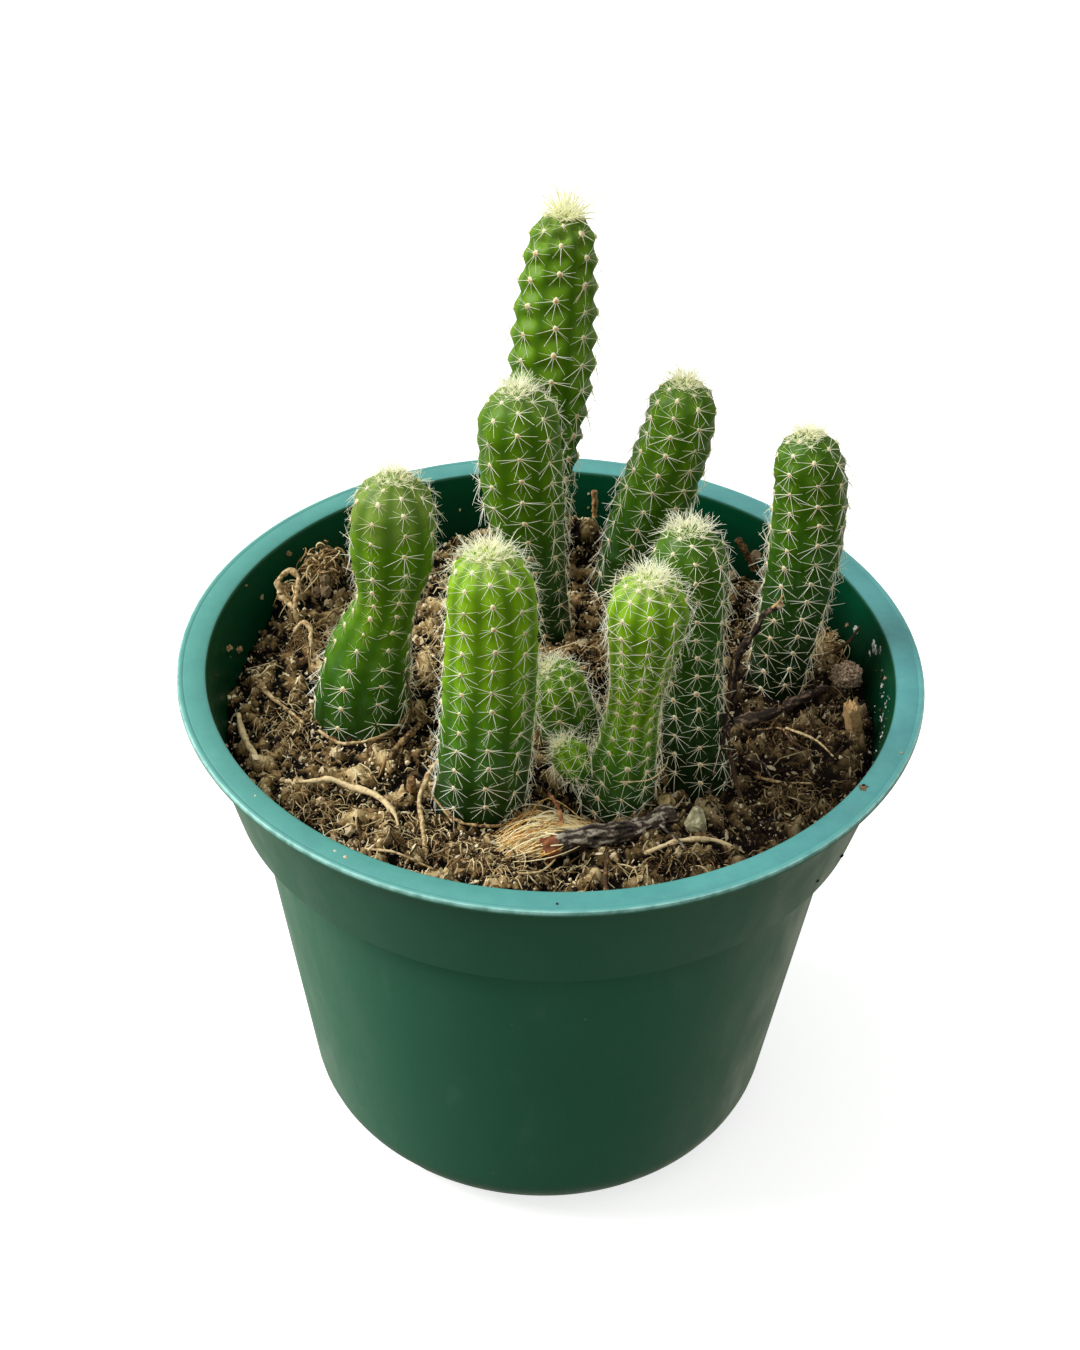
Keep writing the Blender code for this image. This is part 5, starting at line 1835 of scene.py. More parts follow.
@dataclass(frozen=True)
class PottingSoil:
    """The potting mix: its crumbly top, crumbs, flakes and coir fibres."""

    cell: float = 0.6
    gap: float = 0.3
    fibres: int = 2300
    fibre_lengths: tuple = ((0.9, 2.6), (2.6, 8.0))
    fibre_radii: tuple = ((0.05, 0.12), (0.12, 0.24))
    short_share: float = 0.85
    fine_share: float = 0.8
    fibre_bend: float = 0.9
    fibre_arch: float = 0.35
    stem_margin: float = 0.2
    scatters: tuple = (
        Scatter(0.014, 0.5, 1.2, CRUMB, detail=2, tones=(-0.2, 1.1)),
        Scatter(0.7, 0.14, 0.52, CRUMB, tones=(-0.35, 1.5), seed=SEED + 1),
    )
    shreds: tuple = (
        Scatter(0.3, 0.16, 0.5, CRUMB, thinness=0.45, length=2.6, tones=(-0.2, 1.6), seed=SEED + 2),
        Scatter(0.14, 0.3, 1, CRUMB, thinness=0.25, tones=(-0.1, 1.35), seed=SEED + 5),
    )
    flakes: Scatter = Scatter(0.8, 0.2, 1, CHIP, thinness=0.35, tones=(-0.9, 1.2), seed=SEED + 3)
    flake_spots: tuple = ((-9.0, -35.8, 5.5, 2.6), (19.0, -37.6, 4.5, 1.6), (38.0, -22.5, 3.6, 3.4),
                          (-41, -11, 4, 4), (33, -27, 4, 2.2))
    wall_grains: Scatter = Scatter(0.035, 0.12, 0.6, CRUMB, tones=(0.2, 1.2), seed=SEED + 4)
    mineral_grains: Scatter = Scatter(0.22, 0.05, 0.24, SALT, thinness=0.4, tones=(-0.1, 1.1), seed=SEED + 6)
    mineral_band: tuple = (-16.0, 6.0)
    lowest_top: float = 70.0

    def top_mesh(self) -> Mesh:
        """The soil as a closed body: a fine polar top, the wall's inner shape and a flat floor.

        Returns:
            The closed mesh.
        """
        radius = POT.inner_radius(SOIL.level) - self.gap
        rings = round(radius / self.cell)
        points, lifts, counts = [Vector((0, 0, SOIL.top(0, 0)))], [SOIL.lift(0, 0)], [1]
        for ring in range(1, rings + 1):
            count = max(6, round(2 * pi * ring))
            counts.append(count)
            for step in range(count):
                angle = 2 * pi * step / count + 0.5 * (ring % 2) * 2 * pi / count
                reach = radius * MM * ring / rings
                x, y = reach * cos(angle), reach * sin(angle)
                points.append(Vector((x, y, SOIL.top(x, y))))
                lifts.append(SOIL.lift(x, y))
        return self.close_rings(points, lifts, counts)

    def close_rings(self, points: list, lifts: list, counts: list) -> Mesh:
        """Stitch rings of unlike counts together and close the body below.

        Args:
            points: The top's points, ring by ring from the middle.
            lifts: How far each stands over the plain top.
            counts: How many points each ring has.

        Returns:
            The closed mesh.
        """
        starts = [sum(counts[:ring]) for ring in range(len(counts) + 1)]
        floor = POT.foot_rise + POT.floor + self.gap
        below = [(POT.inner_radius(z) - self.gap, z) for z in POT.step]
        below += [(radius, z) for radius, z in POT.corner_arc(POT.wall + self.gap, 5) if z > floor]
        below += [(POT.foot_inner, floor)]
        wall = [Vector((spot.x, spot.y, 0)).normalized() for spot in points[starts[-2]:]]
        points += [(way * radius * MM).xy.to_3d() + Vector((0, 0, z * MM)) for radius, z in below
                   for way in wall]
        points.append(Vector((0, 0, floor * MM)))
        lifts += [-1 * MM] * (len(points) - len(lifts))
        faces = []
        for ring in range(1, len(counts)):
            faces += stitched(points, starts[ring - 1], counts[ring - 1], starts[ring], counts[ring])
        low, around = starts[-2], len(wall)
        after = [(step + 1) % around for step in range(around)]
        for _ in below:
            faces += [(low + step, low + around + step, low + around + after[step], low + after[step])
                      for step in range(around)]
            low += around
        faces += [(low + after[step], low + step, len(points) - 1) for step in range(around)]
        mesh = bpy.data.meshes.new("soil_top")
        mesh.from_pydata(points, [], faces)
        store(mesh, "lift", [lift / MM * 0.24 for lift in lifts])
        return mesh

    def clear_of_stems(self, x: float, y: float, margin: float) -> bool:
        """True if a place in metres is outside every stem's foot.

        Args:
            x: How far to the right the place is.
            y: How far back it is.
            margin: What each foot's radius gets more, in millimetres.

        Returns:
            Whether it is.
        """
        feet = [stem.stations[0] for stem in STEMS]
        return all(hypot(x - foot_x * MM, y - foot_y * MM) >= (radius + margin) * MM
                   for foot_x, foot_y, _, radius in feet)

    def in_patch(self, index: int, patch: tuple, x: float, y: float) -> bool:
        """True if a place in metres is in a ragged patch (x, y, width, depth) of flakes.

        Args:
            index: The patch's number, which makes its edge unlike the others.
            patch: Its middle and half sizes, in millimetres.
            x: The place across.
            y: The place back.

        Returns:
            Whether it is.
        """
        middle_x, middle_y, wide, deep = patch
        ragged = noise.noise(Vector((x / MM / 2, y / MM / 2, index)))
        return hypot((x / MM - middle_x) / wide, (y / MM - middle_y) / deep) < 0.75 + 0.5 * ragged

    def fibre_lines(self, draw: random.Random) -> Lines:
        """Coir fibres that lie on the soil, bent and crossing, and the heaps of fine roots.

        Args:
            draw: Their random numbers.

        Returns:
            The lines.
        """
        lines = Lines()
        reach_most = (POT.inner_radius(SOIL.level) - 1) * MM
        while len(lines.edges) < self.fibres * 4:
            angle = draw.uniform(0, 2 * pi)
            away = reach_most * sqrt(draw.random())
            x, y = away * cos(angle), away * sin(angle)
            if not self.clear_of_stems(x, y, self.stem_margin):
                continue
            heading = draw.uniform(0, 2 * pi)
            bend = draw.uniform(-self.fibre_bend, self.fibre_bend)
            length = draw.uniform(*self.fibre_lengths[draw.random() >= self.short_share])
            arch = draw.uniform(0, self.fibre_arch) * length * draw.random()
            radius = draw.uniform(*self.fibre_radii[draw.random() >= self.fine_share])
            route = []
            for step in range(5):
                share = step / 4
                height = SOIL.top(x, y) + (draw.uniform(-0.05, 0.25) + arch * sin(pi * share)) * MM
                route.append(Vector((x, y, height)))
                heading += bend * 0.5 + draw.uniform(-0.35, 0.35)
                x += cos(heading) * length / 4 * MM
                y += sin(heading) * length / 4 * MM
            if max(hypot(spot.x, spot.y) for spot in route) > reach_most:
                continue
            thick = [radius * MM * (1 - 0.5 * abs(step / 2 - 1)) for step in range(5)]
            lines.add(route, thick, 1.15 * draw.betavariate(0.6, 0.6))
        for thicket in THICKETS:
            thicket.lay(lines, draw)
        return lines

    def open_faces(self, body: Mesh, keep: Callable) -> Mesh:
        """The part of the soil's top that a test keeps.

        Args:
            body: The soil's body.
            keep: A function that says whether a face at a place in metres is kept.

        Returns:
            Those faces as a mesh.
        """
        shape = bmesh.new()
        shape.from_mesh(body)
        centres = [(face, face.calc_center_median()) for face in shape.faces]
        lost = [face for face, (x, y, z) in centres if face.normal.z < 0.2 or z < self.lowest_top * MM
                or not keep(x, y)]
        bmesh.ops.delete(shape, geom=lost, context="FACES")
        return poured("scatter_face", shape)

    def wall_band(self, start: float = 0.0, end: float = 360.0, steps: int = 72) -> Mesh:
        """The strip of the pot's inner wall above the soil, where grains stick.

        Args:
            start: The azimuth where it starts, in degrees.
            end: The azimuth where it ends.
            steps: How many faces it has.

        Returns:
            The strip.
        """
        shape = bmesh.new()
        rings = []
        for z in (SOIL.level + 0.5, SOIL.level + 6.5):
            radius = POT.inner_radius(z) - 0.1
            rings.append([shape.verts.new(on_circle(
                radius * MM, radians(start + (end - start) * step / steps),
                z * MM)) for step in range(steps + 1)])
        for step in range(steps):
            shape.faces.new((rings[0][step], rings[0][step + 1], rings[1][step + 1], rings[1][step]))
        return poured("wall_band", shape)

    def build(self, tubes: Shaper) -> None:
        """Build the soil's body, its crumbs and its fibres.

        Args:
            tubes: The tube tree.
        """
        draw = random.Random(SEED + 2)
        body = self.top_mesh()
        body.materials.append(SOIL_MIX.material())
        body.shade_smooth()
        crumbs = make_crumb_shaper()
        bare = self.open_faces(body, lambda x, y: self.clear_of_stems(x, y, -0.4))
        loose = [scatter.over(bare, crumbs) for scatter in self.scatters]
        thin = [scatter.over(bare, crumbs) for scatter in self.shreds]
        for index, spot in enumerate(self.flake_spots):
            near = self.open_faces(body, partial(self.in_patch, index, spot))
            thin.append(replace(self.flakes, seed=SEED + 10 + index).over(near, crumbs))
        loose.append(self.wall_grains.over(self.wall_band(), crumbs))
        thin.append(self.mineral_grains.over(self.wall_band(*self.mineral_band), crumbs))
        thin += [grain.mesh() for grain in STUCK_GRAINS]
        fibres = tubes.make(self.fibre_lines(draw).mesh("fibres"), {
            "Sides": 3, "Relief": 0.5, "Grain": repeats(0.5), "Stretch": 3, "Finish": COIR.material()})
        place_piece("potting_soil", body, Slot.MIX, ("soil",))
        place_piece("soil_crumbs", joined("crumbs", loose), Slot.MIX, ("soil",))
        place_piece("soil_flakes", joined("flakes", thin), Slot.MIX, ("soil",))
        place_piece("coir_fibres", fibres, Slot.MIX, ("soil",))


def stitched(points: list, inner: int, few: int, outer: int, many: int) -> list:
    """Triangles between two rings of points with unlike counts.

    Args:
        points: All the points.
        inner: Index of the inner ring's first point.
        few: How many points the inner ring has.
        outer: Index of the outer ring's first point.
        many: How many points the outer ring has.

    Returns:
        The triangles, facing up.
    """
    if few == 1:
        return [(inner, outer + step, outer + (step + 1) % many) for step in range(many)]
    faces = []
    near, far = 0, 0
    first_near, first_far = [atan2(points[index].y, points[index].x) % (2 * pi) for index in (inner, outer)]
    while near < few or far < many:
        next_near = first_near + (near + 1) / few * 2 * pi
        next_far = first_far + (far + 1) / many * 2 * pi
        a = inner + near % few
        b = outer + far % many
        if far < many and (near >= few or next_far <= next_near):
            faces.append((a, b, outer + (far + 1) % many))
            far += 1
        else:
            faces.append((a, b, inner + (near + 1) % few))
            near += 1
    return faces


@dataclass(frozen=True)
class Stick:
    """A stick, twig or root: points (x, y, rise over the soil) and end radii, in millimetres."""

    name: str
    route: tuple
    thick: float
    thin: float
    finish: Finish
    slot: Slot
    sides: int = 12
    relief: float = 0.7
    grain: float = 1.0
    stretch: float = 3.5
    tone: float = 0.5
    knobs: float = 0.12
    broken_start: float = 0.0
    broken_end: float = 0.0
    steps: int = 14
    belly: float = 0.0
    wander: float = 0.25
    blunt: float = 0.75

    def line(self, lines: Lines, draw: random.Random) -> None:
        """Lay the stick's line with its changing thickness.

        Args:
            lines: Where it goes.
            draw: Its random numbers.
        """
        knots = [SOIL.spot(*point) for point in self.route]
        steps = (len(knots) - 1) * self.steps
        route, thick, broken = [], [], []
        start = draw.uniform(0, 50)
        for step in range(steps + 1):
            share = step / steps
            spot = catmull_rom(knots, share * (len(knots) - 1))
            wander = Vector([noise.noise(Vector((share * 7, start + axis * 9, 0)))
                             for axis in range(3)])
            swell = 1 + self.knobs * 2 * noise.noise(Vector((share * 11, start, 4)))
            radius = (self.thick + (self.thin - self.thick) * share) * swell
            radius *= 1 + self.belly * (sin(pi * share) - 0.6)
            if share > 0.97:
                radius *= self.blunt
            route.append(spot + wander * self.wander * self.thick * MM)
            thick.append(radius * MM)
            bare = share < self.broken_start or share > 1 - self.broken_end
            broken.append(1 if bare else 0)
        lines.add(route, thick, self.tone, broken)

    def tube(self, tubes: Shaper) -> Mesh:
        """The stick as a ridged tube.

        Args:
            tubes: The tube tree.

        Returns:
            Its mesh.
        """
        lines = Lines()
        self.line(lines, random.Random(f"{self.name}{SEED}"))
        return tubes.make(lines.mesh(self.name), {
            "Sides": self.sides, "Relief": self.relief, "Grain": repeats(self.grain), "Stretch": self.stretch,
            "Finish": self.finish.material()})

    def build(self, tubes: Shaper) -> Object:
        """Build the stick as one piece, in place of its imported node."""
        return place_piece("loose_" + self.name, self.tube(tubes), self.slot, (self.name,))


STICKS = (
    Stick("bark_stick", ((-0.4, -35, 0.9), (6.6, -32, 0.9), (13.6, -29, 1), (18.8, -26.9, 0.7)),
          1.85, 1.3, BARK, Slot.BARK, sides=40, relief=1.15, grain=0.7, stretch=5, broken_start=0.12,
          steps=24),
    Stick("twig_upright", ((27.6, 1.2, -2), (28.3, 0.6, 4.5), (28.8, 0.9, 10.5), (30.9, 1.2, 14.2),
                           (31.9, 1.2, 17.4), (34.6, 0.8, 20.2)), 0.62, 0.4, TWIG, Slot.BARK, relief=1,
          grain=0.5, knobs=0.3, broken_end=0.07),
    Stick("twig_right", ((28.8, -3.6, 0.5), (34.9, -0.6, 0.7), (39.9, 3.4, 0.9), (43.6, 6.2, 0.8)),
          0.95, 0.65, TWIG, Slot.BARK, sides=20, relief=1.2, grain=0.5, tone=0.7, knobs=0.3),
    Stick("root_arched", ((-38.8, -21.6, 0.2), (-35.2, -22.7, 1.6), (-32.1, -22.8, 2.6), (-28.9, -23.7, 2.8),
                          (-25.1, -25.7, 2.2), (-22.2, -28.9, 0.9), (-21.4, -31.4, -0.2)),
          0.5, 0.26, ROOT, Slot.ROOT, relief=1.1, grain=0.35, tone=0.78, knobs=0.3, belly=0.5),
    Stick("root_wall", ((-47.6, -6.8, 3), (-46.2, -11.2, 1.8), (-43, -16.4, 0.3)), 0.5, 0.38,
          ROOT, Slot.ROOT, relief=1.1, grain=0.35, tone=0.74, knobs=0.3, belly=0.5),
    Stick("root_front", ((14.4, -34.6, 0.4), (19.4, -33.4, 0.9), (24.3, -32.6, 0.9), (29, -32.9, 0.2)),
          0.4, 0.28, ROOT, Slot.ROOT, relief=1.1, grain=0.35, tone=0.76, knobs=0.3, belly=0.5),
)


def scrap(name: str, route: tuple, thick: float, thin: float, finish: Finish, tone: float = 0.6) -> Stick:
    """A small root, thread or splinter that is part of the potting mix."""
    return Stick(name, route, thick * 0.85, thin * 0.8, finish, Slot.MIX, sides=8, relief=1.2, grain=0.4,
                 tone=tone * 0.7, knobs=0.3, steps=9)


SCRAPS = (
    scrap("twig_fork", ((33.2, 1, 19), (34, 0.9, 20.4), (34.5, 0.6, 22)), 0.4, 0.2, WOOD, 1.2),
    scrap("leaning_stub", ((33.4, 35.4, 2.4), (31.6, 34.4, 6), (29.7, 33.8, 9.2)), 0.74, 0.8, WOOD, 0.5),
    scrap("back_stub", ((6.4, 45, 1.5), (6.4, 45.2, 4), (6.2, 45.6, 6.6)), 0.6, 0.6, WOOD, 0.8),
    scrap("stub", ((-19.9, -23.6, 0.2), (-20, -23.5, 3.4)), 1, 0.75, WOOD, 0.6),
    scrap("root_down", ((-15.2, -19.5, 4.4), (-17, -22.5, 4), (-18.6, -26, 1.6), (-17.9, -31, 0.9),
                        (-17.1, -37, 0.5)), 0.52, 0.4, ROOT, 0.8),
    scrap("root_fork", ((-18.4, -25, 2), (-16, -26.4, 1.4), (-13.6, -29.6, 0.6)), 0.3, 0.2, ROOT, 0.6),
    scrap("root_middle", ((-24, -15.4, 0.4), (-21.9, -12.3, 1.2), (-20, -8.2, 1), (-19, -5.4, 0.2)),
          0.7, 0.5, ROOT, 0.5),
    scrap("foot_root", ((-35, -9.4, 0.9), (-31.2, -12.4, 1), (-26.4, -12, 1.2), (-23, -8.4, 1.4),
                        (-20.9, -5.6, 3.6)), 0.36, 0.22, ROOT, 0.75),
    scrap("climbing_root", ((-21.5, -7, 0.6), (-21.1, -6.9, 3.6), (-21.4, -7.1, 7.4), (-22.3, -7.6, 11.6)),
          0.3, 0.14, COIR, 0.3),
    scrap("side_root", ((-45.6, 2, 0.8), (-41.2, -2.6, 1.1), (-37.6, -7.2, 0.5)), 0.4, 0.26, ROOT, 0.7),
    scrap("clod_loop", ((-43.4, 16.2, 7.3), (-43.6, 17.5, 8.5), (-42.1, 18.9, 8.9), (-40.6, 17.9, 8.5),
                        (-40.6, 16.3, 7.5), (-40.8, 13.9, 6.1), (-40.2, 13.1, 2.6)), 0.62, 0.42, ROOT, 0.72),
    scrap("clod_spur", ((-43.8, 15.8, 7.3), (-42.3, 15.1, 6.8), (-40.9, 13.9, 5.8)), 0.62, 0.44, ROOT, 0.85),
    scrap("clod_leg", ((-40.8, 11.9, 3), (-39.4, 12.2, 4.5), (-38.1, 10.7, 4.5), (-37.8, 8.8, 3.5),
                       (-37, 8.3, 1)), 0.5, 0.42, ROOT, 0.85),
    scrap("red_thread", ((30.2, -13, 0.4), (32.4, -14.6, 1.3), (33.8, -17.6, 0.9), (36.6, -19, 0.5)),
          0.26, 0.14, BARK, 0.6),
    scrap("standing_twig", ((23.9, -20.4, 0.3), (24.7, -19.2, 4.6), (25.8, -17.6, 9), (25.9, -16.6, 12.4)),
          0.62, 0.45, TWIG, 0.4),
    scrap("standing_root", ((28.9, -22.4, 0.2), (27.6, -18.8, 3.6), (26.6, -15.6, 8), (26.4, -13.2, 13),
                            (26.6, -11.6, 18)), 0.42, 0.3, ROOT, 0.25),
    scrap("right_fibre", ((31.4, -16.4, 0.5), (35, -18.6, 1.2), (39.6, -19.2, 0.7)), 0.3, 0.2, ROOT, 0.7),
    scrap("right_twig", ((36.4, -4.4, 0.8), (40.4, -9, 1.4), (43, -13, 0.6)), 0.28, 0.16, ROOT, 0.85),
    scrap("curled_root", ((32, -5, 1), (35.6, -5.8, 1.8), (37, -9.4, 1.4), (39.8, -12.2, 0.6)),
          0.32, 0.2, ROOT, 0.35),
    scrap("front_thread", ((-4.4, -41.6, 0.4), (-0.6, -40.6, 0.9), (1.6, -37.4, 1.6)), 0.26, 0.16, ROOT,
          0.85),
    scrap("front_splinter", ((8.9, -42.4, 0.3), (8.8, -39.6, 1.5), (9.2, -36.4, 2.4)), 0.5, 0.34, WOOD, 0.3),
    scrap("front_hook", ((10.4, -37, 0.9), (13, -38.6, 1.2), (13.6, -41.6, 0.5)), 0.16, 0.1, ROOT, 0.9),
    scrap("crossing_stem", ((16.6, -31, 2.2), (18.8, -33.4, 1.5), (20.4, -35.4, 0.8)), 0.32, 0.2, BARK, 0.6),
    scrap("front_wisp", ((-26.4, -36.6, 0.4), (-21.4, -38.4, 0.9), (-16, -39.4, 0.4)), 0.3, 0.18, ROOT, 0.9),
    scrap("foot_curl", ((-14.6, -27.8, 1.6), (-12.4, -30.2, 1), (-8.8, -31.4, 1.2), (-6.2, -30.6, 0.5)),
          0.34, 0.24, ROOT, 0.55),
    scrap("lump_curl", ((44.6, 13.4, 2.4), (47, 13, 4.8), (48.4, 13.4, 7.2)), 0.4, 0.2, ROOT, 0.1),
    scrap("spine_thread", ((10.6, -27.6, 8.6), (14.6, -27.6, 8.3), (16.8, -27, 9.4), (17.4, -26.4, 11.2)),
          0.14, 0.1, ROOT, 1),
)


@dataclass(frozen=True)
class StrawTuft:
    """A nest of straw: split fibres that loop over and end together beside the stick, in millimetres."""

    place: tuple = (1.5, -31.4, 0.7)
    turn: float = 13.0
    left: tuple = (-9.5, -2.5)
    right: tuple = (2.2, 5.8)
    fibres: int = 380
    spread: tuple = (-1.0, 1.8)
    gather: tuple = (0.5, 1.0)
    arch: tuple = (0.2, 2.6)
    bow: tuple = (0.3, 1.5)
    droop: tuple = (-1.2, 0.4)
    thick: tuple = (0.05, 0.15)
    tones: tuple = (0.15, 1.15)
    curl: tuple = ((2.4, -30.2, 1.8), (2.0, -29.4, 4.0), (1.0, -28.6, 5.6), (0.3, -28.2, 6.2))

    def build(self, tubes: Shaper) -> Object:
        """Build the tuft as one piece.

        Args:
            tubes: The tube tree.

        Returns:
            The piece.
        """
        draw = random.Random(SEED + 5)
        lines = Lines()
        middle = SOIL.spot(*self.place)
        turned = Matrix.Rotation(radians(self.turn), 3, "Z")
        for _ in range(self.fibres):
            start, end = draw.uniform(*self.left), draw.uniform(*self.right)
            spread, gather = draw.gauss(*self.spread), draw.gauss(*self.gather)
            arch = draw.uniform(*self.arch) * draw.random() ** 0.6
            bow = draw.gauss(*self.bow)
            droop = draw.uniform(*self.droop)
            route = []
            for step in range(9):
                share = step / 8
                along = start + (end - start) * share
                across = spread + (gather - spread) * share + bow * sin(pi * share)
                high = arch * sin(pi * share ** 0.8) + droop * (1 - share) + draw.uniform(-0.06, 0.06)
                spot = middle + turned @ Vector((along, across, high)) * MM
                spot.z = max(spot.z, SOIL.top(spot.x, spot.y) + 0.1 * MM)
                route.append(spot)
            radius = draw.uniform(*self.thick)
            lines.add(route, [radius * MM * (1 - 0.6 * abs(step / 4 - 1) ** 3) for step in range(9)],
                      draw.uniform(*self.tones))
        straw = tubes.make(lines.mesh("straw"), {
            "Sides": 4, "Relief": 0.5, "Grain": repeats(0.5), "Stretch": 3, "Finish": STRAW.material()})
        curl = scrap("straw_curl", self.curl, 0.42, 0.3, CURL, 0.7).tube(tubes)
        return place_piece("loose_straw", joined("straw", [straw, curl]), Slot.STRAW, ("straw_tuft",))


@dataclass(frozen=True)
class Lump:
    """A pebble or crumbly lump: place (x, y, rise over the soil) and radii, in millimetres."""

    name: str
    place: tuple
    radii: tuple
    finish: Finish
    slot: Slot
    jitter: float
    facets: float = 0.0
    crumbly: float = 0.0
    breaks: int = 13

    def build(self) -> Object:
        """Build the lump as one piece.

        Returns:
            The piece.
        """
        centre = SOIL.spot(*self.place)
        shape = bmesh.new()
        bmesh.ops.create_icosphere(shape, subdivisions=5, radius=1)
        shift = len(self.name) * 1.7
        for vert in shape.verts:
            way = vert.co.normalized()
            size = 1 + self.jitter * noise.noise(way * 1.4 + Vector((shift, 0, 0)))
            size += self.jitter * 0.5 * noise.noise(way * 3.3 + Vector((0, shift, 0)))
            size += self.jitter * 0.25 * noise.noise(way * 8 + Vector((0, 0, shift)))
            size += self.crumbly * (abs(noise.noise(way * 5)) - 0.3 + 0.5 * noise.noise(way * 11))
            if self.facets:
                flat = max(way.dot(face) for face in self.facet_directions())
                size *= 1 + self.facets * (0.82 / max(flat, 0.6) - 1)
            vert.co = centre + Vector([part * radius * MM * size for part, radius in zip(way, self.radii)])
        mesh = poured(self.name, shape)
        mesh.materials.append(self.finish.material())
        mesh.shade_smooth()
        store(mesh, "tone", [0.5] * len(mesh.vertices))
        return place_piece("loose_" + self.name, mesh, self.slot, (self.name,))

    def facet_directions(self) -> list:
        """Directions of the flat breaks on an angular stone.

        Returns:
            Unit vectors.
        """
        draw = random.Random(SEED + 8)
        return [Vector((draw.gauss(0, 1), draw.gauss(0, 1), draw.gauss(0, 1))).normalized()
                for _ in range(self.breaks)]


LUMPS = (
    Lump("pebble_round", (17.7, -23.7, 0.5), (1.3, 1.2, 1.1), YELLOW_STONE, Slot.PEBBLE, 0.16),
    Lump("pebble_angular", (21.9, -29.3, 0.8), (1.75, 1.5, 1.95), GREY_STONE, Slot.PEBBLE, 0.12, facets=1),
    Lump("bark_lump", (46.6, 8.6, 1.6), (2.3, 2.1, 2.2), CLOD, Slot.BARK, 0.25, crumbly=0.22),
)


@dataclass(frozen=True)
class WoodChip:
    """A pale chip of split wood on edge in the soil, in millimetres."""

    place: tuple = (46.6, -3.8, 2.2)
    size: tuple = (1.6, 3.2, 7.0)
    tilt: tuple = (8.0, -14.0, 20.0)
    splits: int = 14
    tone: float = 0.95

    def build(self) -> Object:
        """Build the chip with its split grain as one piece.

        Returns:
            The piece.
        """
        shape = bmesh.new()
        bmesh.ops.create_cube(shape, size=1)
        bmesh.ops.subdivide_edges(shape, edges=shape.edges[:], cuts=self.splits, use_grid_fill=True)
        width, depth, height = self.size
        for vert in shape.verts:
            taper = 1 - 0.4 * max(vert.co.z * 2, 0)
            ridge = noise.noise(Vector((vert.co.x * 3, vert.co.y * 9, vert.co.z * 1.2)))
            rough = noise.noise(vert.co * 9)
            torn = noise.noise(Vector((vert.co.x * 4, vert.co.y * 8, 5)))
            ragged = torn if abs(vert.co.z) > 0.49 else 0
            vert.co = Vector((
                vert.co.x * width * (1 + 0.22 * ridge + 0.08 * rough),
                vert.co.y * depth * taper * (1 + 0.1 * rough),
                vert.co.z * height + ragged * 0.9,
            )) * MM
        spin = Matrix.Identity(3)
        for angle, axis in zip(self.tilt, "XYZ"):
            spin = Matrix.Rotation(radians(angle), 3, axis) @ spin
        turn = Matrix.Translation(SOIL.spot(*self.place)) @ spin.to_4x4()
        bmesh.ops.transform(shape, matrix=turn, verts=shape.verts)
        mesh = poured("wood_chip", shape)
        mesh.materials.append(WOOD.material())
        mesh.shade_smooth()
        store(mesh, "tone", [self.tone] * len(mesh.vertices))
        return place_piece("loose_wood_chip", mesh, Slot.WOOD, ("wood_chip",))


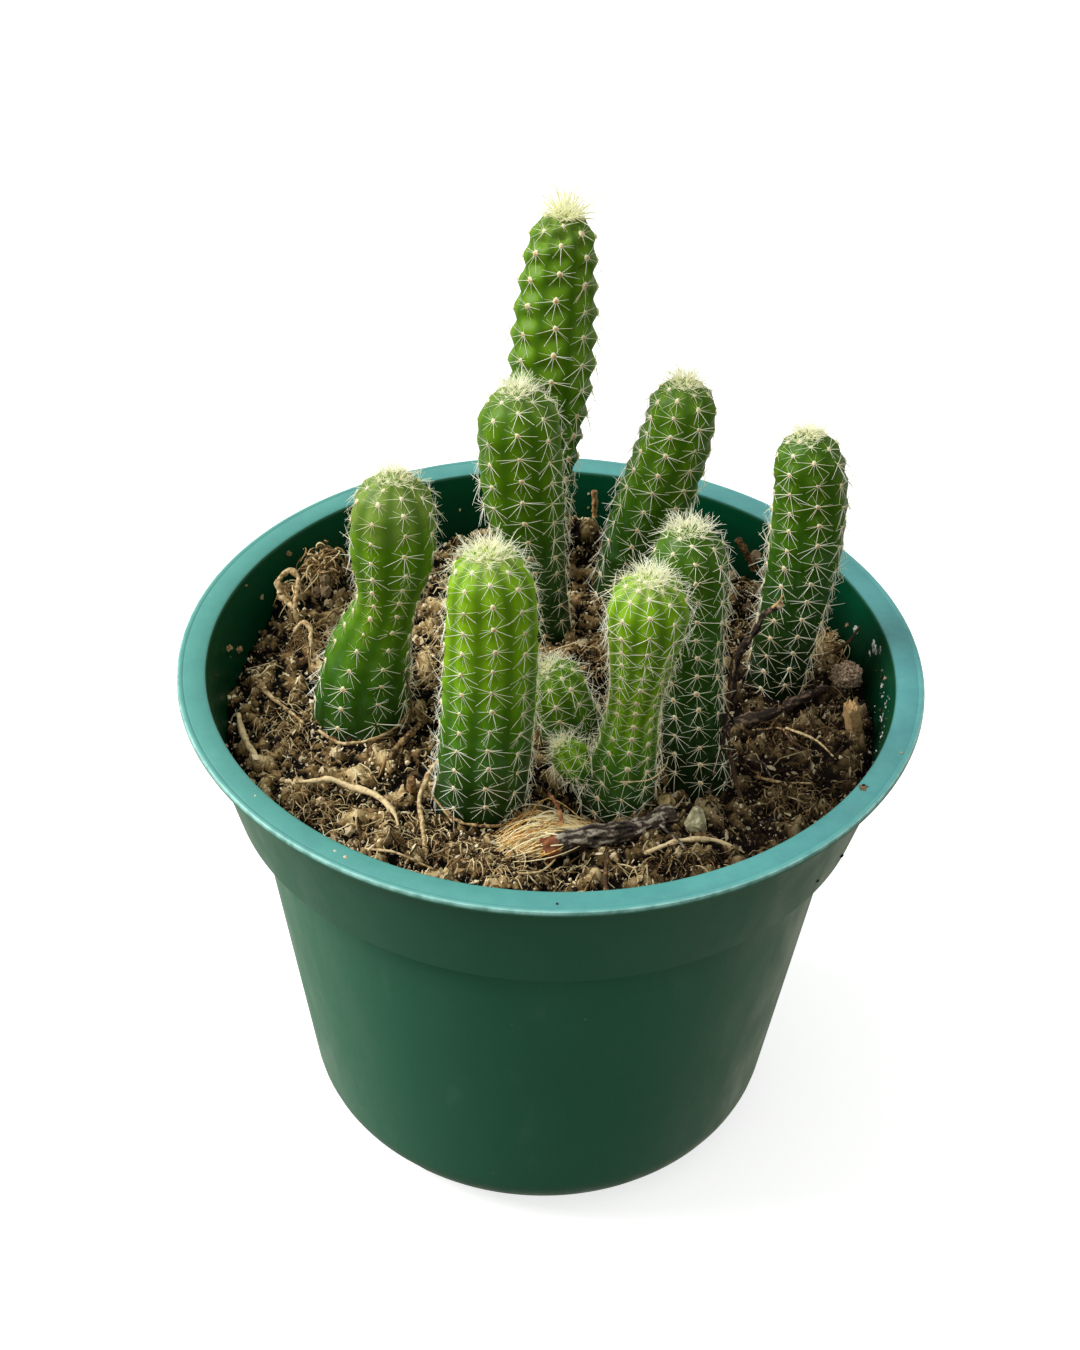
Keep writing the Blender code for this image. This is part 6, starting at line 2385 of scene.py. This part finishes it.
@dataclass(frozen=True)
class Studio:
    """A pale floor under soft light from above, and the camera, in millimetres and degrees."""

    look_at: tuple = (-1.67, 0.0, 82.5)
    distance: float = 401.0
    azimuth: float = 0.301
    elevation: float = 37.616
    roll: float = 1.787
    lens: float = 69.464
    key_place: tuple = (-1500.0, 100.0, 1350.0)
    key_size: float = 1300.0
    key_power: float = 42.0
    sky_strength: float = 1.06
    floor_radius: float = 4000.0

    def camera(self) -> None:
        """Put the camera where the photograph was taken from."""
        azimuth, elevation = radians(self.azimuth), radians(self.elevation)
        ahead = Vector((-sin(azimuth) * cos(elevation), cos(azimuth) * cos(elevation), -sin(elevation)))
        camera = shown("camera", bpy.data.cameras.new("camera"))
        camera.data.lens = self.lens
        camera.data.clip_start = 0.01
        camera.data.clip_end = 20
        camera.rotation_mode = "QUATERNION"
        camera.location = (Vector(self.look_at) - ahead * self.distance) * MM
        camera.rotation_quaternion = ahead.to_track_quat("-Z", "Y") @ Quaternion((0, 0, 1),
                                                                                 radians(self.roll))
        bpy.context.scene.camera = camera

    def lights(self) -> None:
        """A large soft light up on the left, over a dim sky that is brightest overhead."""
        light = bpy.data.lights.new("softbox", "AREA")
        light.shape = "DISK"
        light.size = self.key_size * MM
        light.energy = self.key_power
        softbox = shown("softbox", light)
        softbox.location = Vector(self.key_place) * MM
        aim = Vector((0, 0, 90)) * MM - softbox.location
        softbox.rotation_euler = aim.to_track_quat("-Z", "Y").to_euler()
        world = bpy.data.worlds.new("studio")
        world.use_nodes = True
        world.node_tree.nodes.clear()
        add = partial(wire, world.node_tree)
        way = add(Node.PLACE, output="Generated")
        across, back, up = [add(Node.SPLIT, way, output=axis) for axis in "XYZ"]
        height = add(Node.RANGE, up, -0.05, 1)
        high = add(Node.RAMP, height, stops=((0, "B4B5AE"), (0.25, "CFD1CC"), (0.6, "EDF1F0"),
                                             (1, "FFFFFF")))
        lateral = add(Node.RANGE, across, -0.5, 0.5)
        behind = add(Node.MIX, lateral, "CACBBC", "C4BFB0")
        low = add(Node.MIX, add(Node.RANGE, back, -0.15, 0.6), "3A3F38", behind)
        over = add(Node.RANGE, up, -0.12, 0.12)
        side = add(Node.MIX, lateral, "FFFFFF", "C4C4C4")
        sky = add(Node.MIX, over, low, add(Node.MIX, 1, high, side, blend_type="MULTIPLY"))
        dim = add("ShaderNodeBackground", {"Color": sky, "Strength": self.sky_strength})
        white = add("ShaderNodeBackground", {"Color": "FFFFFF", "Strength": 1})
        seen = add("ShaderNodeLightPath", output="Is Camera Ray")
        both = add("ShaderNodeMixShader", {0: seen, 1: dim, 2: white})
        add("ShaderNodeOutputWorld", {"Surface": both})
        bpy.context.scene.world = world

    def floor(self) -> None:
        """A broad pale floor that throws no light back up, like the plain ground of the photograph."""
        shape = bmesh.new()
        bmesh.ops.create_circle(shape, cap_ends=True, segments=96, radius=self.floor_radius * MM)
        item = shown("floor", poured("floor", shape))
        item.data.materials.append(PAPER.material())
        item.visible_diffuse = False
        item.visible_glossy = False

    def build(self) -> None:
        """Set the camera, the lights and the floor."""
        bpy.context.scene.view_settings.view_transform = "Standard"
        self.camera()
        self.lights()
        self.floor()


def main() -> None:
    """Build the studio and every piece of the potted cactus."""
    logging.basicConfig(level=logging.INFO, format="%(message)s")
    Studio().build()
    POT.build()
    tubes = make_tube_shaper()
    PottingSoil().build(tubes)
    CactusClump().build()
    for stick in STICKS:
        stick.build(tubes)
    place_piece("mix_scraps", joined("scraps", [item.tube(tubes) for item in SCRAPS]), Slot.MIX, ("soil",))
    StrawTuft().build(tubes)
    for lump in LUMPS:
        lump.build()
    WoodChip().build()


if __name__ == "__main__":
    main()
